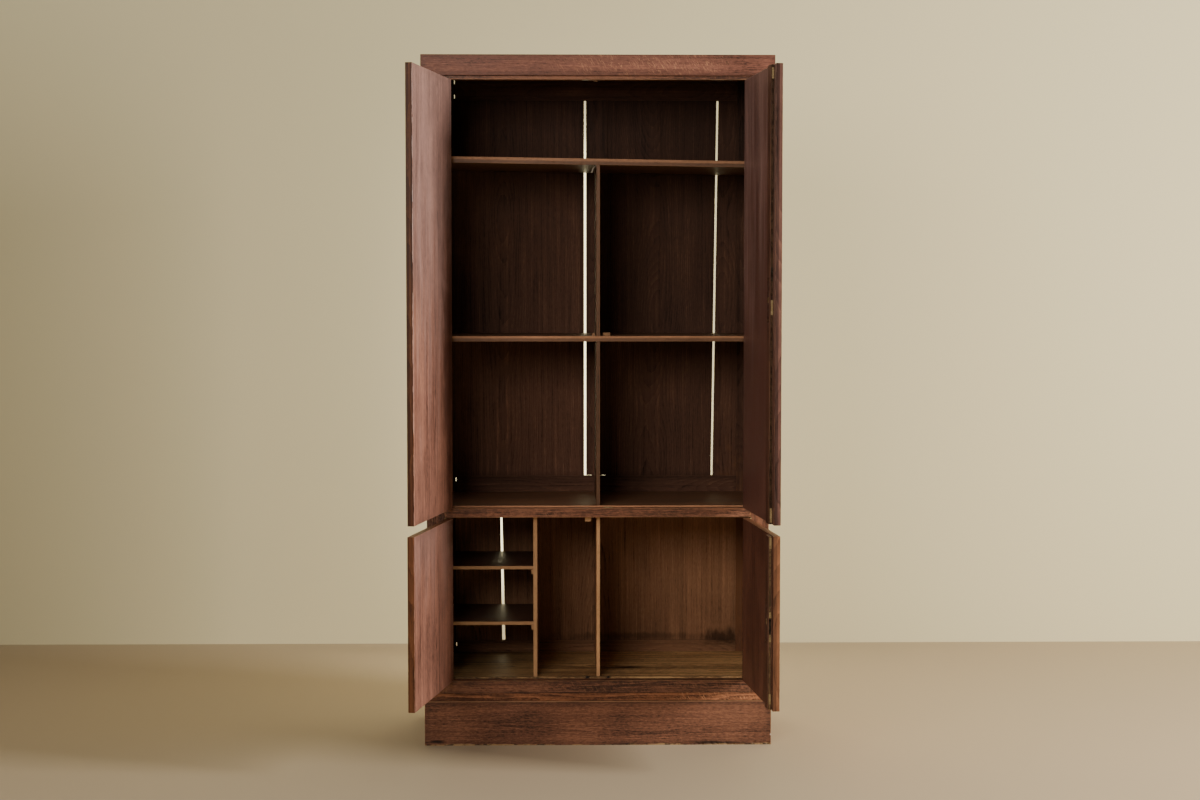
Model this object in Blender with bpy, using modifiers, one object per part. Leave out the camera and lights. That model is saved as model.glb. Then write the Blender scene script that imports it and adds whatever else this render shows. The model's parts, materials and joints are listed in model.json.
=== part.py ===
"""A tall marquetry cabinet in oak, with two pairs of doors standing open.

Lengths are in metres. X runs to the right and Y away from someone standing in front of it, and Z is up.
The origin is on the floor, below the middle of the front frame's face.
"""

import math

import bmesh
import bpy
from mathutils import Vector

# Clearances
GAP = 0.0003
MITRE_GAP = 0.0004
HOUSING_GAP = 0.0004
DOOR_GAP = 0.0016
MEETING_GAP = 0.0016

# Carcass, read from the outside
CARCASS_WIDTH = 0.994
CARCASS_DEPTH = 0.458
PLINTH_HEIGHT = 0.130
CAP_HEIGHT = 0.0225
BOTTOM_RAIL_HEIGHT = 0.0363
LOWER_OPENING_HEIGHT = 0.4789
MIDDLE_RAIL_HEIGHT = 0.0258
UPPER_OPENING_HEIGHT = 1.2365
TOP_RAIL_SHOWN = 0.0106
CORNICE_HEIGHT = 0.0594
STILE_WIDTH = 0.0528
STILE_THICK = 0.022
RAIL_THICK = 0.034
SIDE_THICK = 0.020
FLOOR_THICK = 0.018
FLOOR_STEP = 0.0047
TOP_THICK = 0.018
TOP_DROP = 0.002
CORNICE_REACH = 0.0114
PLINTH_REACH = 0.0082
PLINTH_THICK = 0.022
HOUSING_DEPTH = 0.006

# Shelves and dividers. A shelf's rise is from the floor of its part to its top.
SHELF_SETBACK = 0.0345
TOP_SHELF_RISE = 1.0081
TOP_SHELF_THICK = 0.0183
TOP_SHELF_TILT = math.radians(0.89)
MIDDLE_SHELF_RISE = 0.495
MIDDLE_SHELF_THICK = 0.016
DIVIDER_THICK = 0.0102
DIVIDER_X = 0.001
SIDE_DIVIDER_THICK = 0.0114
SIDE_DIVIDER_X = -0.1832
SMALL_SHELF_SETBACK = 0.110
SMALL_SHELF_THICK = 0.0104
UPPER_SMALL_SHELF_RISE = 0.3169
LOWER_SMALL_SHELF_RISE = 0.1511
BEARER_WIDTH = 0.0073
BEARER_HEIGHT = 0.0135
BEARER_REAR_GAP = 0.030

# Framed back. Its middle and bottom rails show this much above the floors.
BACK_THICK = 0.018
BACK_STILE_WIDTH = 0.0382
BACK_TOP_RAIL_HEIGHT = 0.0684
BACK_MIDDLE_RAIL_SHOWN = 0.0492
BACK_MIDDLE_RAIL_HEIGHT = 0.107
BACK_BOTTOM_RAIL_SHOWN = 0.0353
MUNTIN_X = 0.0022
MUNTIN_WIDTH = 0.065
BACK_BOARD_THICK = 0.010
GROOVE_DEPTH = 0.008
TONGUE = 0.006
SHOULDER_GAP = 0.003
FOOT_GAP = 0.002
TENON_MARGIN = 0.018
UPPER_BOARD_SHRINK = 0.0064
UPPER_SPLIT_FOOT = 0.3589
UPPER_SPLIT_HEAD = 0.3739
UPPER_SPLIT_GAP = 0.0063
LOWER_SPLIT_FOOT = -0.2938
LOWER_SPLIT_HEAD = -0.2988
LOWER_SPLIT_FOOT_GAP = 0.0095
LOWER_SPLIT_HEAD_GAP = 0.0056

# Doors, and how far each stands open
DOOR_THICK = 0.019
MEETING_X = 0.003
OPEN_UPPER_LEFT = math.radians(100.1)
OPEN_UPPER_RIGHT = math.radians(95.9)
OPEN_LOWER_LEFT = math.radians(100.2)
OPEN_LOWER_RIGHT = math.radians(95.8)

# Continuous hinges
HINGE_GAP = 0.003
BARREL_RADIUS = 0.0035
PIN_RADIUS = 0.0013
PIN_CLEARANCE = 0.0004
LEAF_THICK = 0.001
LEAF_WIDTH = 0.014
LEAF_START = 0.0006
KNUCKLE_PITCH = 0.060
KNUCKLE_GAP = 0.0004
WEB_ROOT = 0.0024
WEB_LAP = 0.0005
WEB_INSET = 0.00005
WEB_END_INSET = 0.0005
BARREL_SIDES = 10
PIN_SIDES = 6

# Locking strips, rods and locks of the right-hand doors. A lock's rise is from its door's foot.
STRIP_SETBACK = 0.0165
STRIP_WIDTH = 0.040
STRIP_THICK = 0.0105
STRIP_SHORT = 0.002
ROD_SIZE = 0.005
ROD_CLEARANCE = 0.0003
ROD_APART = 0.024
ROD_TRAVEL = 0.014
LOCK_WIDTH = 0.030
LOCK_LENGTH = 0.120
LOCK_THICK = 0.008
UPPER_LOCK_RISE = 0.605
LOWER_LOCK_RISE = 0.240
SOCKET_CLEARANCE = 0.001
SOCKET_END_GAP = 0.0014

# Keep plate, floor notches and door stop
KEEP_SIDE_MARGIN = 0.0033
KEEP_WIDTH = 0.0277
KEEP_FRONT_MARGIN = 0.0015
KEEP_THICK = 0.0012
KEEP_REAR_GAP = 0.0005
NOTCH_WIDTH = 0.019
NOTCH_DEPTH = 0.008
NOTCH_APART = 0.0617
STOP_X = -0.029
STOP_WIDTH = 0.0175
STOP_DROP = 0.0145
STOP_CLEARANCE = 0.0005

# Places that follow from the sizes above
HALF_WIDTH = CARCASS_WIDTH / 2
HALF_OPENING = HALF_WIDTH - STILE_WIDTH
INNER_HALF = HALF_WIDTH - SIDE_THICK
HOUSED_HALF = INNER_HALF + HOUSING_DEPTH - HOUSING_GAP
CAP_TOP = PLINTH_HEIGHT + CAP_HEIGHT
BOTTOM_RAIL_TOP = CAP_TOP + BOTTOM_RAIL_HEIGHT
MIDDLE_RAIL_BASE = BOTTOM_RAIL_TOP + LOWER_OPENING_HEIGHT
MIDDLE_RAIL_TOP = MIDDLE_RAIL_BASE + MIDDLE_RAIL_HEIGHT
TOP_RAIL_BASE = MIDDLE_RAIL_TOP + UPPER_OPENING_HEIGHT
CORNICE_BASE = TOP_RAIL_BASE + TOP_RAIL_SHOWN
HEIGHT = CORNICE_BASE + CORNICE_HEIGHT
TOP_BOARD_Z = (HEIGHT - TOP_DROP - TOP_THICK, HEIGHT - TOP_DROP)
CARCASS_Z = (CAP_TOP + GAP, TOP_BOARD_Z[0] - GAP)
BACK_Y = (CARCASS_DEPTH - BACK_THICK, CARCASS_DEPTH)
INSIDE_BACK = BACK_Y[0] - GAP
INSIDE_Y = (SHELF_SETBACK, INSIDE_BACK)
FLOOR_FRONT = RAIL_THICK + GAP
LOWER_FLOOR_TOP = BOTTOM_RAIL_TOP + FLOOR_STEP
UPPER_FLOOR_TOP = MIDDLE_RAIL_TOP + FLOOR_STEP
LOWER_FLOOR_Z = (LOWER_FLOOR_TOP - FLOOR_THICK, LOWER_FLOOR_TOP)
UPPER_FLOOR_Z = (UPPER_FLOOR_TOP - FLOOR_THICK, UPPER_FLOOR_TOP)
TOP_SHELF_TOP = UPPER_FLOOR_TOP + TOP_SHELF_RISE
MIDDLE_SHELF_TOP = UPPER_FLOOR_TOP + MIDDLE_SHELF_RISE
MIDDLE_SHELF_Z = (MIDDLE_SHELF_TOP - MIDDLE_SHELF_THICK, MIDDLE_SHELF_TOP)
SMALL_SHELF_TOPS = {
    "small_shelf_upper": LOWER_FLOOR_TOP + UPPER_SMALL_SHELF_RISE,
    "small_shelf_lower": LOWER_FLOOR_TOP + LOWER_SMALL_SHELF_RISE,
}
CENTRE_DIVIDER_X = (DIVIDER_X - DIVIDER_THICK / 2, DIVIDER_X + DIVIDER_THICK / 2)
LEFT_DIVIDER_X = (SIDE_DIVIDER_X - SIDE_DIVIDER_THICK / 2, SIDE_DIVIDER_X + SIDE_DIVIDER_THICK / 2)
BACK_EDGE = INNER_HALF - GAP - BACK_STILE_WIDTH
BACK_TOP_RAIL_Z = (CARCASS_Z[1] - BACK_TOP_RAIL_HEIGHT, CARCASS_Z[1])
BACK_MIDDLE_RAIL_TOP = UPPER_FLOOR_TOP + BACK_MIDDLE_RAIL_SHOWN
BACK_MIDDLE_RAIL_Z = (BACK_MIDDLE_RAIL_TOP - BACK_MIDDLE_RAIL_HEIGHT, BACK_MIDDLE_RAIL_TOP)
BACK_BOTTOM_RAIL_Z = (CARCASS_Z[0], LOWER_FLOOR_TOP + BACK_BOTTOM_RAIL_SHOWN)
BACK_CENTRE = CARCASS_DEPTH - BACK_THICK / 2
BOARD_Y = (BACK_CENTRE - BACK_BOARD_THICK / 2, BACK_CENTRE + BACK_BOARD_THICK / 2)
GROOVE_Y = (BOARD_Y[0] - GAP, BOARD_Y[1] + GAP)
PIN_X = HALF_OPENING - HINGE_GAP / 2
LEFT_DOOR_X = (HINGE_GAP - HALF_OPENING, MEETING_X - MEETING_GAP / 2)
RIGHT_DOOR_X = (MEETING_X + MEETING_GAP / 2, HALF_OPENING - HINGE_GAP)
UPPER_DOOR_Z = (MIDDLE_RAIL_TOP + DOOR_GAP, TOP_RAIL_BASE - DOOR_GAP)
LOWER_DOOR_Z = (BOTTOM_RAIL_TOP + DOOR_GAP, MIDDLE_RAIL_BASE - DOOR_GAP)
STRIP_X = (RIGHT_DOOR_X[0] + STRIP_SETBACK, RIGHT_DOOR_X[0] + STRIP_SETBACK + STRIP_WIDTH)
STRIP_Y = (DOOR_THICK + GAP, DOOR_THICK + GAP + STRIP_THICK)
STRIP_CENTRE_Y = (STRIP_Y[0] + STRIP_Y[1]) / 2
ROD_X = (STRIP_X[0] + ROD_CLEARANCE, STRIP_X[0] + ROD_CLEARANCE + ROD_SIZE)
ROD_Y = (STRIP_CENTRE_Y - ROD_SIZE / 2, STRIP_CENTRE_Y + ROD_SIZE / 2)
SOCKET_X = (ROD_X[0] - SOCKET_CLEARANCE, ROD_X[1] + SOCKET_CLEARANCE)
SOCKET_Y = (ROD_Y[0] - SOCKET_CLEARANCE, ROD_Y[1] + SOCKET_CLEARANCE)
SOCKET_DEPTH = ROD_TRAVEL - STRIP_SHORT - DOOR_GAP + SOCKET_END_GAP


def clear_scene():
    for item in list(bpy.data.objects):
        bpy.data.objects.remove(item)


def new_collection(name):
    group = bpy.data.collections.new(name)
    bpy.context.scene.collection.children.link(group)
    return group


def new_material(name, colour, roughness, metallic=0.0):
    material = bpy.data.materials.new(name)
    material.use_nodes = True
    shader = material.node_tree.nodes["Principled BSDF"]
    shader.inputs["Base Color"].default_value = (*colour, 1.0)
    shader.inputs["Roughness"].default_value = roughness
    shader.inputs["Metallic"].default_value = metallic
    return material


clear_scene()
CABINET = new_collection("marquetry_cabinet")
CUTTERS = new_collection("cutters")
OUTSIDE_OAK = new_material("outside_oak", (0.150, 0.047, 0.026), 0.42)
INSIDE_OAK = new_material("inside_oak", (0.070, 0.032, 0.020), 0.55)
SHELF_OAK = new_material("shelf_oak", (0.150, 0.066, 0.036), 0.52)
DIVIDER_OAK = new_material("divider_oak", (0.420, 0.240, 0.120), 0.50)
DOOR_OAK = new_material("door_oak", (0.240, 0.098, 0.066), 0.46)
BRASS = new_material("brass", (0.560, 0.400, 0.170), 0.34, 1.0)
IRON = new_material("iron", (0.060, 0.055, 0.050), 0.45, 1.0)


def middle(span):
    return (span[0] + span[1]) / 2


def grown(span, amount):
    return (span[0] - amount, span[1] + amount)


def place(name, mesh, centre, parent, group):
    """Links a new object whose mesh is centred on its origin, at a point given with every door closed."""
    item = bpy.data.objects.new(name, mesh)
    group.objects.link(item)
    item.parent = parent
    item.location = centre - parent.location if parent else centre
    return item


def block_mesh(name, x, y, z):
    mesh = bpy.data.meshes.new(name)
    shape = bmesh.new()
    bmesh.ops.create_cube(shape, size=1.0)
    bmesh.ops.scale(shape, vec=(x[1] - x[0], y[1] - y[0], z[1] - z[0]), verts=shape.verts)
    shape.to_mesh(mesh)
    shape.free()
    return mesh


def board(name, x, y, z, material, parent=None):
    """A board or bar between two faces each way."""
    mesh = block_mesh(name, x, y, z)
    mesh.materials.append(material)
    return place(name, mesh, Vector((middle(x), middle(y), middle(z))), parent, CABINET)


def cutter(name, mesh, centre, parent):
    """A helper that is cut from a piece or joined to it, and turns with the piece's door."""
    item = place(name, mesh, centre, parent, CUTTERS)
    item.hide_render = True
    item.display_type = "WIRE"
    return item


def block_cutter(name, x, y, z, parent):
    return cutter(name, block_mesh(name, x, y, z), Vector((middle(x), middle(y), middle(z))), parent)


def rod_cutter(name, radius, sides, centre, length, parent):
    mesh = bpy.data.meshes.new(name)
    shape = bmesh.new()
    bmesh.ops.create_cone(
        shape, cap_ends=True, segments=sides, radius1=radius, radius2=radius, depth=length
    )
    shape.to_mesh(mesh)
    shape.free()
    return cutter(name, mesh, Vector(centre), parent)


def combine(target, helper, operation):
    modifier = target.modifiers.new(helper.name, "BOOLEAN")
    modifier.operation = operation
    modifier.object = helper


def cut(target, x, y, z):
    name = f"{target.name}_cut_{len(target.modifiers)}"
    combine(target, block_cutter(name, x, y, z, target.parent), "DIFFERENCE")


def join(target, x, y, z):
    name = f"{target.name}_join_{len(target.modifiers)}"
    combine(target, block_cutter(name, x, y, z, target.parent), "UNION")


def shaped_board(name, corner, material):
    """A board whose eight corners are where corner(right, rear, high) says, each of them True or False."""
    mesh = block_mesh(name, (-1, 1), (-1, 1), (-1, 1))
    mesh.materials.append(material)
    for vertex in mesh.vertices:
        vertex.co = Vector(corner(*(value > 0 for value in vertex.co)))
    centre = sum((vertex.co for vertex in mesh.vertices), Vector()) / len(mesh.vertices)
    for vertex in mesh.vertices:
        vertex.co -= centre
    return place(name, mesh, centre, None, CABINET)


def front_band(name, z, reach_low, reach_high, inner):
    """A board along the front, mitred at both ends. A reach is how far it stands out of the carcass."""

    def corner(right, rear, high):
        reach = inner if rear else (reach_high if high else reach_low)
        end = HALF_WIDTH + reach - MITRE_GAP
        return (end if right else -end, -reach, z[high])

    shaped_board(name, corner, OUTSIDE_OAK)


def side_band(name, side, z, reach_low, reach_high, inner):
    """The return of such a board along one side, mitred at the front and square at the back."""

    def corner(right, rear, high):
        outer = right == (side > 0)
        reach = (reach_high if high else reach_low) if outer else inner
        return (side * (HALF_WIDTH + reach), CARCASS_DEPTH if rear else -reach, z[high])

    shaped_board(name, corner, OUTSIDE_OAK)


def make_bands():
    """The plinth, the sloped cap on it and the cornice, each a front board with two returns."""
    plinth_inner = PLINTH_REACH - PLINTH_THICK
    bands = {
        "plinth": ((0.0, PLINTH_HEIGHT), PLINTH_REACH, PLINTH_REACH, plinth_inner),
        "base_cap": ((PLINTH_HEIGHT + GAP, CAP_TOP), PLINTH_REACH, GAP, plinth_inner),
        "cornice": ((CORNICE_BASE, HEIGHT), CORNICE_REACH, CORNICE_REACH, GAP),
    }
    for name, sizes in bands.items():
        front_band(f"{name}_front", *sizes)
        side_band(f"{name}_left", -1, *sizes)
        side_band(f"{name}_right", 1, *sizes)


def top_shelf_height(x):
    """Height of the leaning top shelf's upper face at a place across the cabinet."""
    return TOP_SHELF_TOP - x * math.tan(TOP_SHELF_TILT)


def top_shelf_underside(x):
    return top_shelf_height(x) - TOP_SHELF_THICK / math.cos(TOP_SHELF_TILT)


def house(side_board, side, y, z):
    """Cuts the housing for a shelf's end into a side board."""
    x = sorted((side * (INNER_HALF - GAP), side * (INNER_HALF + HOUSING_DEPTH)))
    cut(side_board, x, grown(y, HOUSING_GAP), grown(z, HOUSING_GAP))


def make_sides():
    small_y = (SMALL_SHELF_SETBACK, INSIDE_BACK)
    for name, side in (("side_left", -1), ("side_right", 1)):
        x = sorted((side * INNER_HALF, side * HALF_WIDTH))
        item = board(name, x, (STILE_THICK + GAP, CARCASS_DEPTH), CARCASS_Z, OUTSIDE_OAK)
        ends = (side * INNER_HALF, side * HOUSED_HALF)
        shelf_z = (min(map(top_shelf_underside, ends)), max(map(top_shelf_height, ends)))
        house(item, side, INSIDE_Y, shelf_z)
        house(item, side, INSIDE_Y, MIDDLE_SHELF_Z)
        house(item, side, (STILE_THICK + GAP, INSIDE_BACK), UPPER_FLOOR_Z)
        house(item, side, (STILE_THICK + GAP, INSIDE_BACK), LOWER_FLOOR_Z)
        if side < 0:
            for top in SMALL_SHELF_TOPS.values():
                house(item, side, small_y, (top - SMALL_SHELF_THICK, top))


def make_front_frame():
    """Two stiles with three rails between them. The rails have sockets for the rods of the locks."""
    for name, side in (("stile_left", -1), ("stile_right", 1)):
        x = sorted((side * HALF_OPENING, side * HALF_WIDTH))
        board(name, x, (0, STILE_THICK), CARCASS_Z, OUTSIDE_OAK)
    x = (GAP - HALF_OPENING, HALF_OPENING - GAP)
    y = (0, RAIL_THICK)
    top = board("top_rail", x, y, (TOP_RAIL_BASE, CARCASS_Z[1]), OUTSIDE_OAK)
    centre = board("middle_rail", x, y, (MIDDLE_RAIL_BASE, MIDDLE_RAIL_TOP), OUTSIDE_OAK)
    bottom = board("bottom_rail", x, y, (CARCASS_Z[0], BOTTOM_RAIL_TOP), OUTSIDE_OAK)
    cut(top, SOCKET_X, SOCKET_Y, (TOP_RAIL_BASE - GAP, TOP_RAIL_BASE + SOCKET_DEPTH))
    cut(centre, SOCKET_X, SOCKET_Y, (MIDDLE_RAIL_BASE - GAP, MIDDLE_RAIL_BASE + SOCKET_DEPTH))
    cut(centre, SOCKET_X, SOCKET_Y, (MIDDLE_RAIL_TOP - SOCKET_DEPTH, MIDDLE_RAIL_TOP + GAP))
    cut(bottom, SOCKET_X, SOCKET_Y, (BOTTOM_RAIL_TOP - SOCKET_DEPTH, BOTTOM_RAIL_TOP + GAP))


def make_floor(name, z, material):
    """A floor housed in both sides, which reaches the stiles and is cut away behind the rail."""
    y = (STILE_THICK + GAP, INSIDE_BACK)
    item = board(name, (-HOUSED_HALF, HOUSED_HALF), y, z, material)
    cut(item, (-HALF_OPENING, HALF_OPENING), (STILE_THICK, FLOOR_FRONT), grown(z, GAP))
    return item


def make_floors():
    x = (-HALF_WIDTH, HALF_WIDTH)
    board("top_board", x, (0, CARCASS_DEPTH), TOP_BOARD_Z, INSIDE_OAK)
    make_floor("upper_floor", UPPER_FLOOR_Z, INSIDE_OAK)
    lower = make_floor("lower_floor", LOWER_FLOOR_Z, SHELF_OAK)
    for centre in (-NOTCH_APART / 2, NOTCH_APART / 2):
        notch_x = (centre - NOTCH_WIDTH / 2, centre + NOTCH_WIDTH / 2)
        cut(lower, notch_x, (FLOOR_FRONT - GAP, FLOOR_FRONT + NOTCH_DEPTH), grown(LOWER_FLOOR_Z, GAP))


def make_shelves():
    x = (-HOUSED_HALF, HOUSED_HALF)
    half = TOP_SHELF_THICK / 2
    centre = TOP_SHELF_TOP - half / math.cos(TOP_SHELF_TILT)
    top = board("top_shelf", x, INSIDE_Y, (centre - half, centre + half), SHELF_OAK)
    top.rotation_euler.y = TOP_SHELF_TILT
    board("middle_shelf", x, INSIDE_Y, MIDDLE_SHELF_Z, SHELF_OAK)
    x = (-HOUSED_HALF, LEFT_DIVIDER_X[0] - GAP)
    y = (SMALL_SHELF_SETBACK, INSIDE_BACK)
    for name, height in SMALL_SHELF_TOPS.items():
        board(name, x, y, (height - SMALL_SHELF_THICK, height), SHELF_OAK)


def make_dividers():
    """Upright boards between the shelves. The left one carries bearers for the small shelves."""
    x = CENTRE_DIVIDER_X
    shelf_base = min(map(top_shelf_underside, x))
    board("divider_upper", x, INSIDE_Y, (MIDDLE_SHELF_TOP + GAP, shelf_base - GAP), SHELF_OAK)
    board("divider_middle", x, INSIDE_Y, (UPPER_FLOOR_TOP + GAP, MIDDLE_SHELF_Z[0] - GAP), SHELF_OAK)
    z = (LOWER_FLOOR_TOP + GAP, UPPER_FLOOR_Z[0] - GAP)
    board("divider_lower_centre", x, INSIDE_Y, z, DIVIDER_OAK)
    left = board("divider_lower_left", LEFT_DIVIDER_X, INSIDE_Y, z, DIVIDER_OAK)
    bearer_x = (LEFT_DIVIDER_X[0] - BEARER_WIDTH, SIDE_DIVIDER_X)
    bearer_y = (SMALL_SHELF_SETBACK, INSIDE_BACK - BEARER_REAR_GAP)
    for height in SMALL_SHELF_TOPS.values():
        top = height - SMALL_SHELF_THICK - GAP
        join(left, bearer_x, bearer_y, (top - BEARER_HEIGHT, top))


def back_rail(name, z, grooved_foot, grooved_head):
    """A rail of the framed back. It has drawn away from the left stile, and its tenon bridges the gap."""
    x = (SHOULDER_GAP - BACK_EDGE, BACK_EDGE - GAP)
    rail = board(name, x, BACK_Y, z, INSIDE_OAK)
    if grooved_foot:
        cut(rail, grown(x, GAP), GROOVE_Y, (z[0] - GAP, z[0] + GROOVE_DEPTH))
    if grooved_head:
        cut(rail, grown(x, GAP), GROOVE_Y, (z[1] - GROOVE_DEPTH, z[1] + GAP))
    tenon_x = (-BACK_EDGE - TONGUE, BACK_EDGE + TONGUE)
    join(rail, tenon_x, BOARD_Y, grown(z, -TENON_MARGIN))


def leaning_edge(foot, head, span, z):
    """A leaning edge's places at the two heights z, from those at the foot and the head of its opening."""
    slope = (head - foot) / (span[1] - span[0])
    return tuple(foot + slope * (height - span[0]) for height in z)


def back_board(name, left, right_edge, z):
    """An upright board in the grooves of the back. Each edge is its place at the foot and at the head."""

    def corner(right, rear, high):
        return ((right_edge if right else left)[high], BOARD_Y[rear], z[high])

    shaped_board(name, corner, INSIDE_OAK)


def make_back_frame():
    for name, side in (("back_stile_left", -1), ("back_stile_right", 1)):
        x = sorted((side * BACK_EDGE, side * (INNER_HALF - GAP)))
        stile = board(name, x, BACK_Y, CARCASS_Z, INSIDE_OAK)
        groove = sorted((side * (BACK_EDGE - GAP), side * (BACK_EDGE + GROOVE_DEPTH)))
        cut(stile, groove, GROOVE_Y, grown(CARCASS_Z, GAP))
    back_rail("back_rail_top", BACK_TOP_RAIL_Z, True, False)
    back_rail("back_rail_middle", BACK_MIDDLE_RAIL_Z, True, True)
    back_rail("back_rail_bottom", BACK_BOTTOM_RAIL_Z, False, True)
    x = (MUNTIN_X - MUNTIN_WIDTH / 2, MUNTIN_X + MUNTIN_WIDTH / 2)
    z = (BACK_MIDDLE_RAIL_TOP + FOOT_GAP, BACK_TOP_RAIL_Z[0] - GAP)
    muntin = board("back_muntin", x, BACK_Y, z, INSIDE_OAK)
    cut(muntin, (x[0] - GAP, x[0] + GROOVE_DEPTH), GROOVE_Y, grown(z, GAP))
    cut(muntin, (x[1] - GROOVE_DEPTH, x[1] + GAP), GROOVE_Y, grown(z, GAP))
    tenon_z = (BACK_MIDDLE_RAIL_TOP - TONGUE, BACK_TOP_RAIL_Z[0] + TONGUE)
    join(muntin, grown(x, -TENON_MARGIN), BOARD_Y, tenon_z)


def make_back_boards():
    """Five boards, three of which have shrunk away from their neighbour and let light through."""
    outer = BACK_EDGE + TONGUE
    span = (BACK_MIDDLE_RAIL_TOP, BACK_TOP_RAIL_Z[0])
    z = grown(span, TONGUE)
    shrunk = MUNTIN_X - MUNTIN_WIDTH / 2 - UPPER_BOARD_SHRINK
    held = MUNTIN_X + MUNTIN_WIDTH / 2 - TONGUE
    split = leaning_edge(UPPER_SPLIT_FOOT, UPPER_SPLIT_HEAD, span, z)
    beyond = tuple(edge + UPPER_SPLIT_GAP for edge in split)
    back_board("back_board_upper_left", (-outer, -outer), (shrunk, shrunk), z)
    back_board("back_board_upper_right", (held, held), split, z)
    back_board("back_board_upper_edge", beyond, (outer, outer), z)
    span = (BACK_BOTTOM_RAIL_Z[1], BACK_MIDDLE_RAIL_Z[0])
    z = grown(span, TONGUE)
    split = leaning_edge(LOWER_SPLIT_FOOT, LOWER_SPLIT_HEAD, span, z)
    foot = LOWER_SPLIT_FOOT + LOWER_SPLIT_FOOT_GAP
    head = LOWER_SPLIT_HEAD + LOWER_SPLIT_HEAD_GAP
    back_board("back_board_lower_left", (-outer, -outer), split, z)
    back_board("back_board_lower_right", leaning_edge(foot, head, span, z), (outer, outer), z)


def hinge_leaf(name, parent, side, toward, z, first, count, pitch):
    """A hinge leaf with every second knuckle, from the one numbered first, on the pin's left or right."""
    pin_x = side * PIN_X
    far = HINGE_GAP / 2 - GAP
    x = sorted((pin_x + toward * far, pin_x + toward * (far - LEAF_THICK)))
    leaf = board(name, x, (LEAF_START, LEAF_WIDTH), z, BRASS, parent)
    length = pitch - KNUCKLE_GAP
    centre = z[0] + (first + 0.5) * pitch
    barrel = rod_cutter(
        f"{name}_barrel", BARREL_RADIUS, BARREL_SIDES, (pin_x, -BARREL_RADIUS, centre), length, parent
    )
    web_y = (WEB_ROOT - BARREL_RADIUS, LEAF_START + WEB_LAP)
    web_z = (centre - length / 2 + WEB_END_INSET, centre + length / 2 - WEB_END_INSET)
    web = block_cutter(f"{name}_web", grown(x, -WEB_INSET), web_y, web_z, parent)
    for helper in (barrel, web):
        repeat = helper.modifiers.new("repeat", "ARRAY")
        repeat.use_relative_offset = False
        repeat.use_constant_offset = True
        repeat.constant_offset_displace = (0, 0, 2 * pitch)
        repeat.count = count
        combine(leaf, helper, "UNION")
    return leaf


def make_hinge(door, parent, side, z):
    """A continuous hinge. The frame's leaf holds the pin, and the door's leaf turns on it."""
    length = z[1] - z[0]
    pairs = round((length / KNUCKLE_PITCH - 1) / 2)
    pitch = length / (2 * pairs + 1)
    pin = (side * PIN_X, -BARREL_RADIUS, middle(z))
    frame_leaf = hinge_leaf(f"hinge_frame_{door}", None, side, side, z, 0, pairs + 1, pitch)
    pin_rod = rod_cutter(f"pin_{door}", PIN_RADIUS, PIN_SIDES, pin, length - pitch, None)
    combine(frame_leaf, pin_rod, "UNION")
    door_leaf = hinge_leaf(f"hinge_door_{door}", parent, side, -side, z, 1, pairs, pitch)
    bore = rod_cutter(f"bore_{door}", PIN_RADIUS + PIN_CLEARANCE, PIN_SIDES, pin, length, parent)
    combine(door_leaf, bore, "DIFFERENCE")


def make_door(door, side, x, z, angle):
    """A door with its hinge, on an empty at the pin that turns it open. It returns the empty."""
    pivot = bpy.data.objects.new(f"pivot_{door}", None)
    CABINET.objects.link(pivot)
    pivot.location = (side * PIN_X, -BARREL_RADIUS, z[0])
    pivot.rotation_euler.z = side * angle
    board(f"door_{door}", x, (0, DOOR_THICK), z, DOOR_OAK, pivot)
    make_hinge(door, pivot, side, z)
    return pivot


def make_lock(level, door_z, height, pivot):
    """A three-point lock: a strip inside the right-hand door, its lock case, and two rods that slide in it."""
    z = grown(door_z, -STRIP_SHORT)
    strip = board(f"lock_strip_{level}", STRIP_X, STRIP_Y, z, DOOR_OAK, pivot)
    rod_end = ROD_X[1] + ROD_CLEARANCE
    cut(strip, (STRIP_X[0] - GAP, rod_end), grown(ROD_Y, ROD_CLEARANCE), grown(z, GAP))
    case_x = (rod_end, rod_end + LOCK_WIDTH)
    case_y = (STRIP_Y[1] - LOCK_THICK, STRIP_Y[1])
    case_z = (height - LOCK_LENGTH / 2, height + LOCK_LENGTH / 2)
    cut(strip, grown(case_x, GAP), grown(case_y, GAP), grown(case_z, GAP))
    board(f"lock_case_{level}", case_x, case_y, case_z, IRON, pivot)
    board(f"rod_{level}_top", ROD_X, ROD_Y, (height + ROD_APART / 2, z[1]), IRON, pivot)
    board(f"rod_{level}_bottom", ROD_X, ROD_Y, (z[0], height - ROD_APART / 2), IRON, pivot)


def make_doors():
    make_door("upper_left", -1, LEFT_DOOR_X, UPPER_DOOR_Z, OPEN_UPPER_LEFT)
    make_door("lower_left", -1, LEFT_DOOR_X, LOWER_DOOR_Z, OPEN_LOWER_LEFT)
    upper = make_door("upper_right", 1, RIGHT_DOOR_X, UPPER_DOOR_Z, OPEN_UPPER_RIGHT)
    lower = make_door("lower_right", 1, RIGHT_DOOR_X, LOWER_DOOR_Z, OPEN_LOWER_RIGHT)
    make_lock("upper", UPPER_DOOR_Z, UPPER_DOOR_Z[0] + UPPER_LOCK_RISE, upper)
    make_lock("lower", LOWER_DOOR_Z, LOWER_DOOR_Z[0] + LOWER_LOCK_RISE, lower)


def make_keep_plate():
    """The plate that takes the upper lock's bottom rod, on the rail in front of the upper floor."""
    x = (SOCKET_X[0] - KEEP_SIDE_MARGIN, SOCKET_X[0] - KEEP_SIDE_MARGIN + KEEP_WIDTH)
    y = (SOCKET_Y[0] - KEEP_FRONT_MARGIN, FLOOR_FRONT - KEEP_REAR_GAP)
    z = (MIDDLE_RAIL_TOP + GAP, MIDDLE_RAIL_TOP + GAP + KEEP_THICK)
    plate = board("keep_plate", x, y, z, BRASS)
    cut(plate, SOCKET_X, SOCKET_Y, grown(z, GAP))


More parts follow.
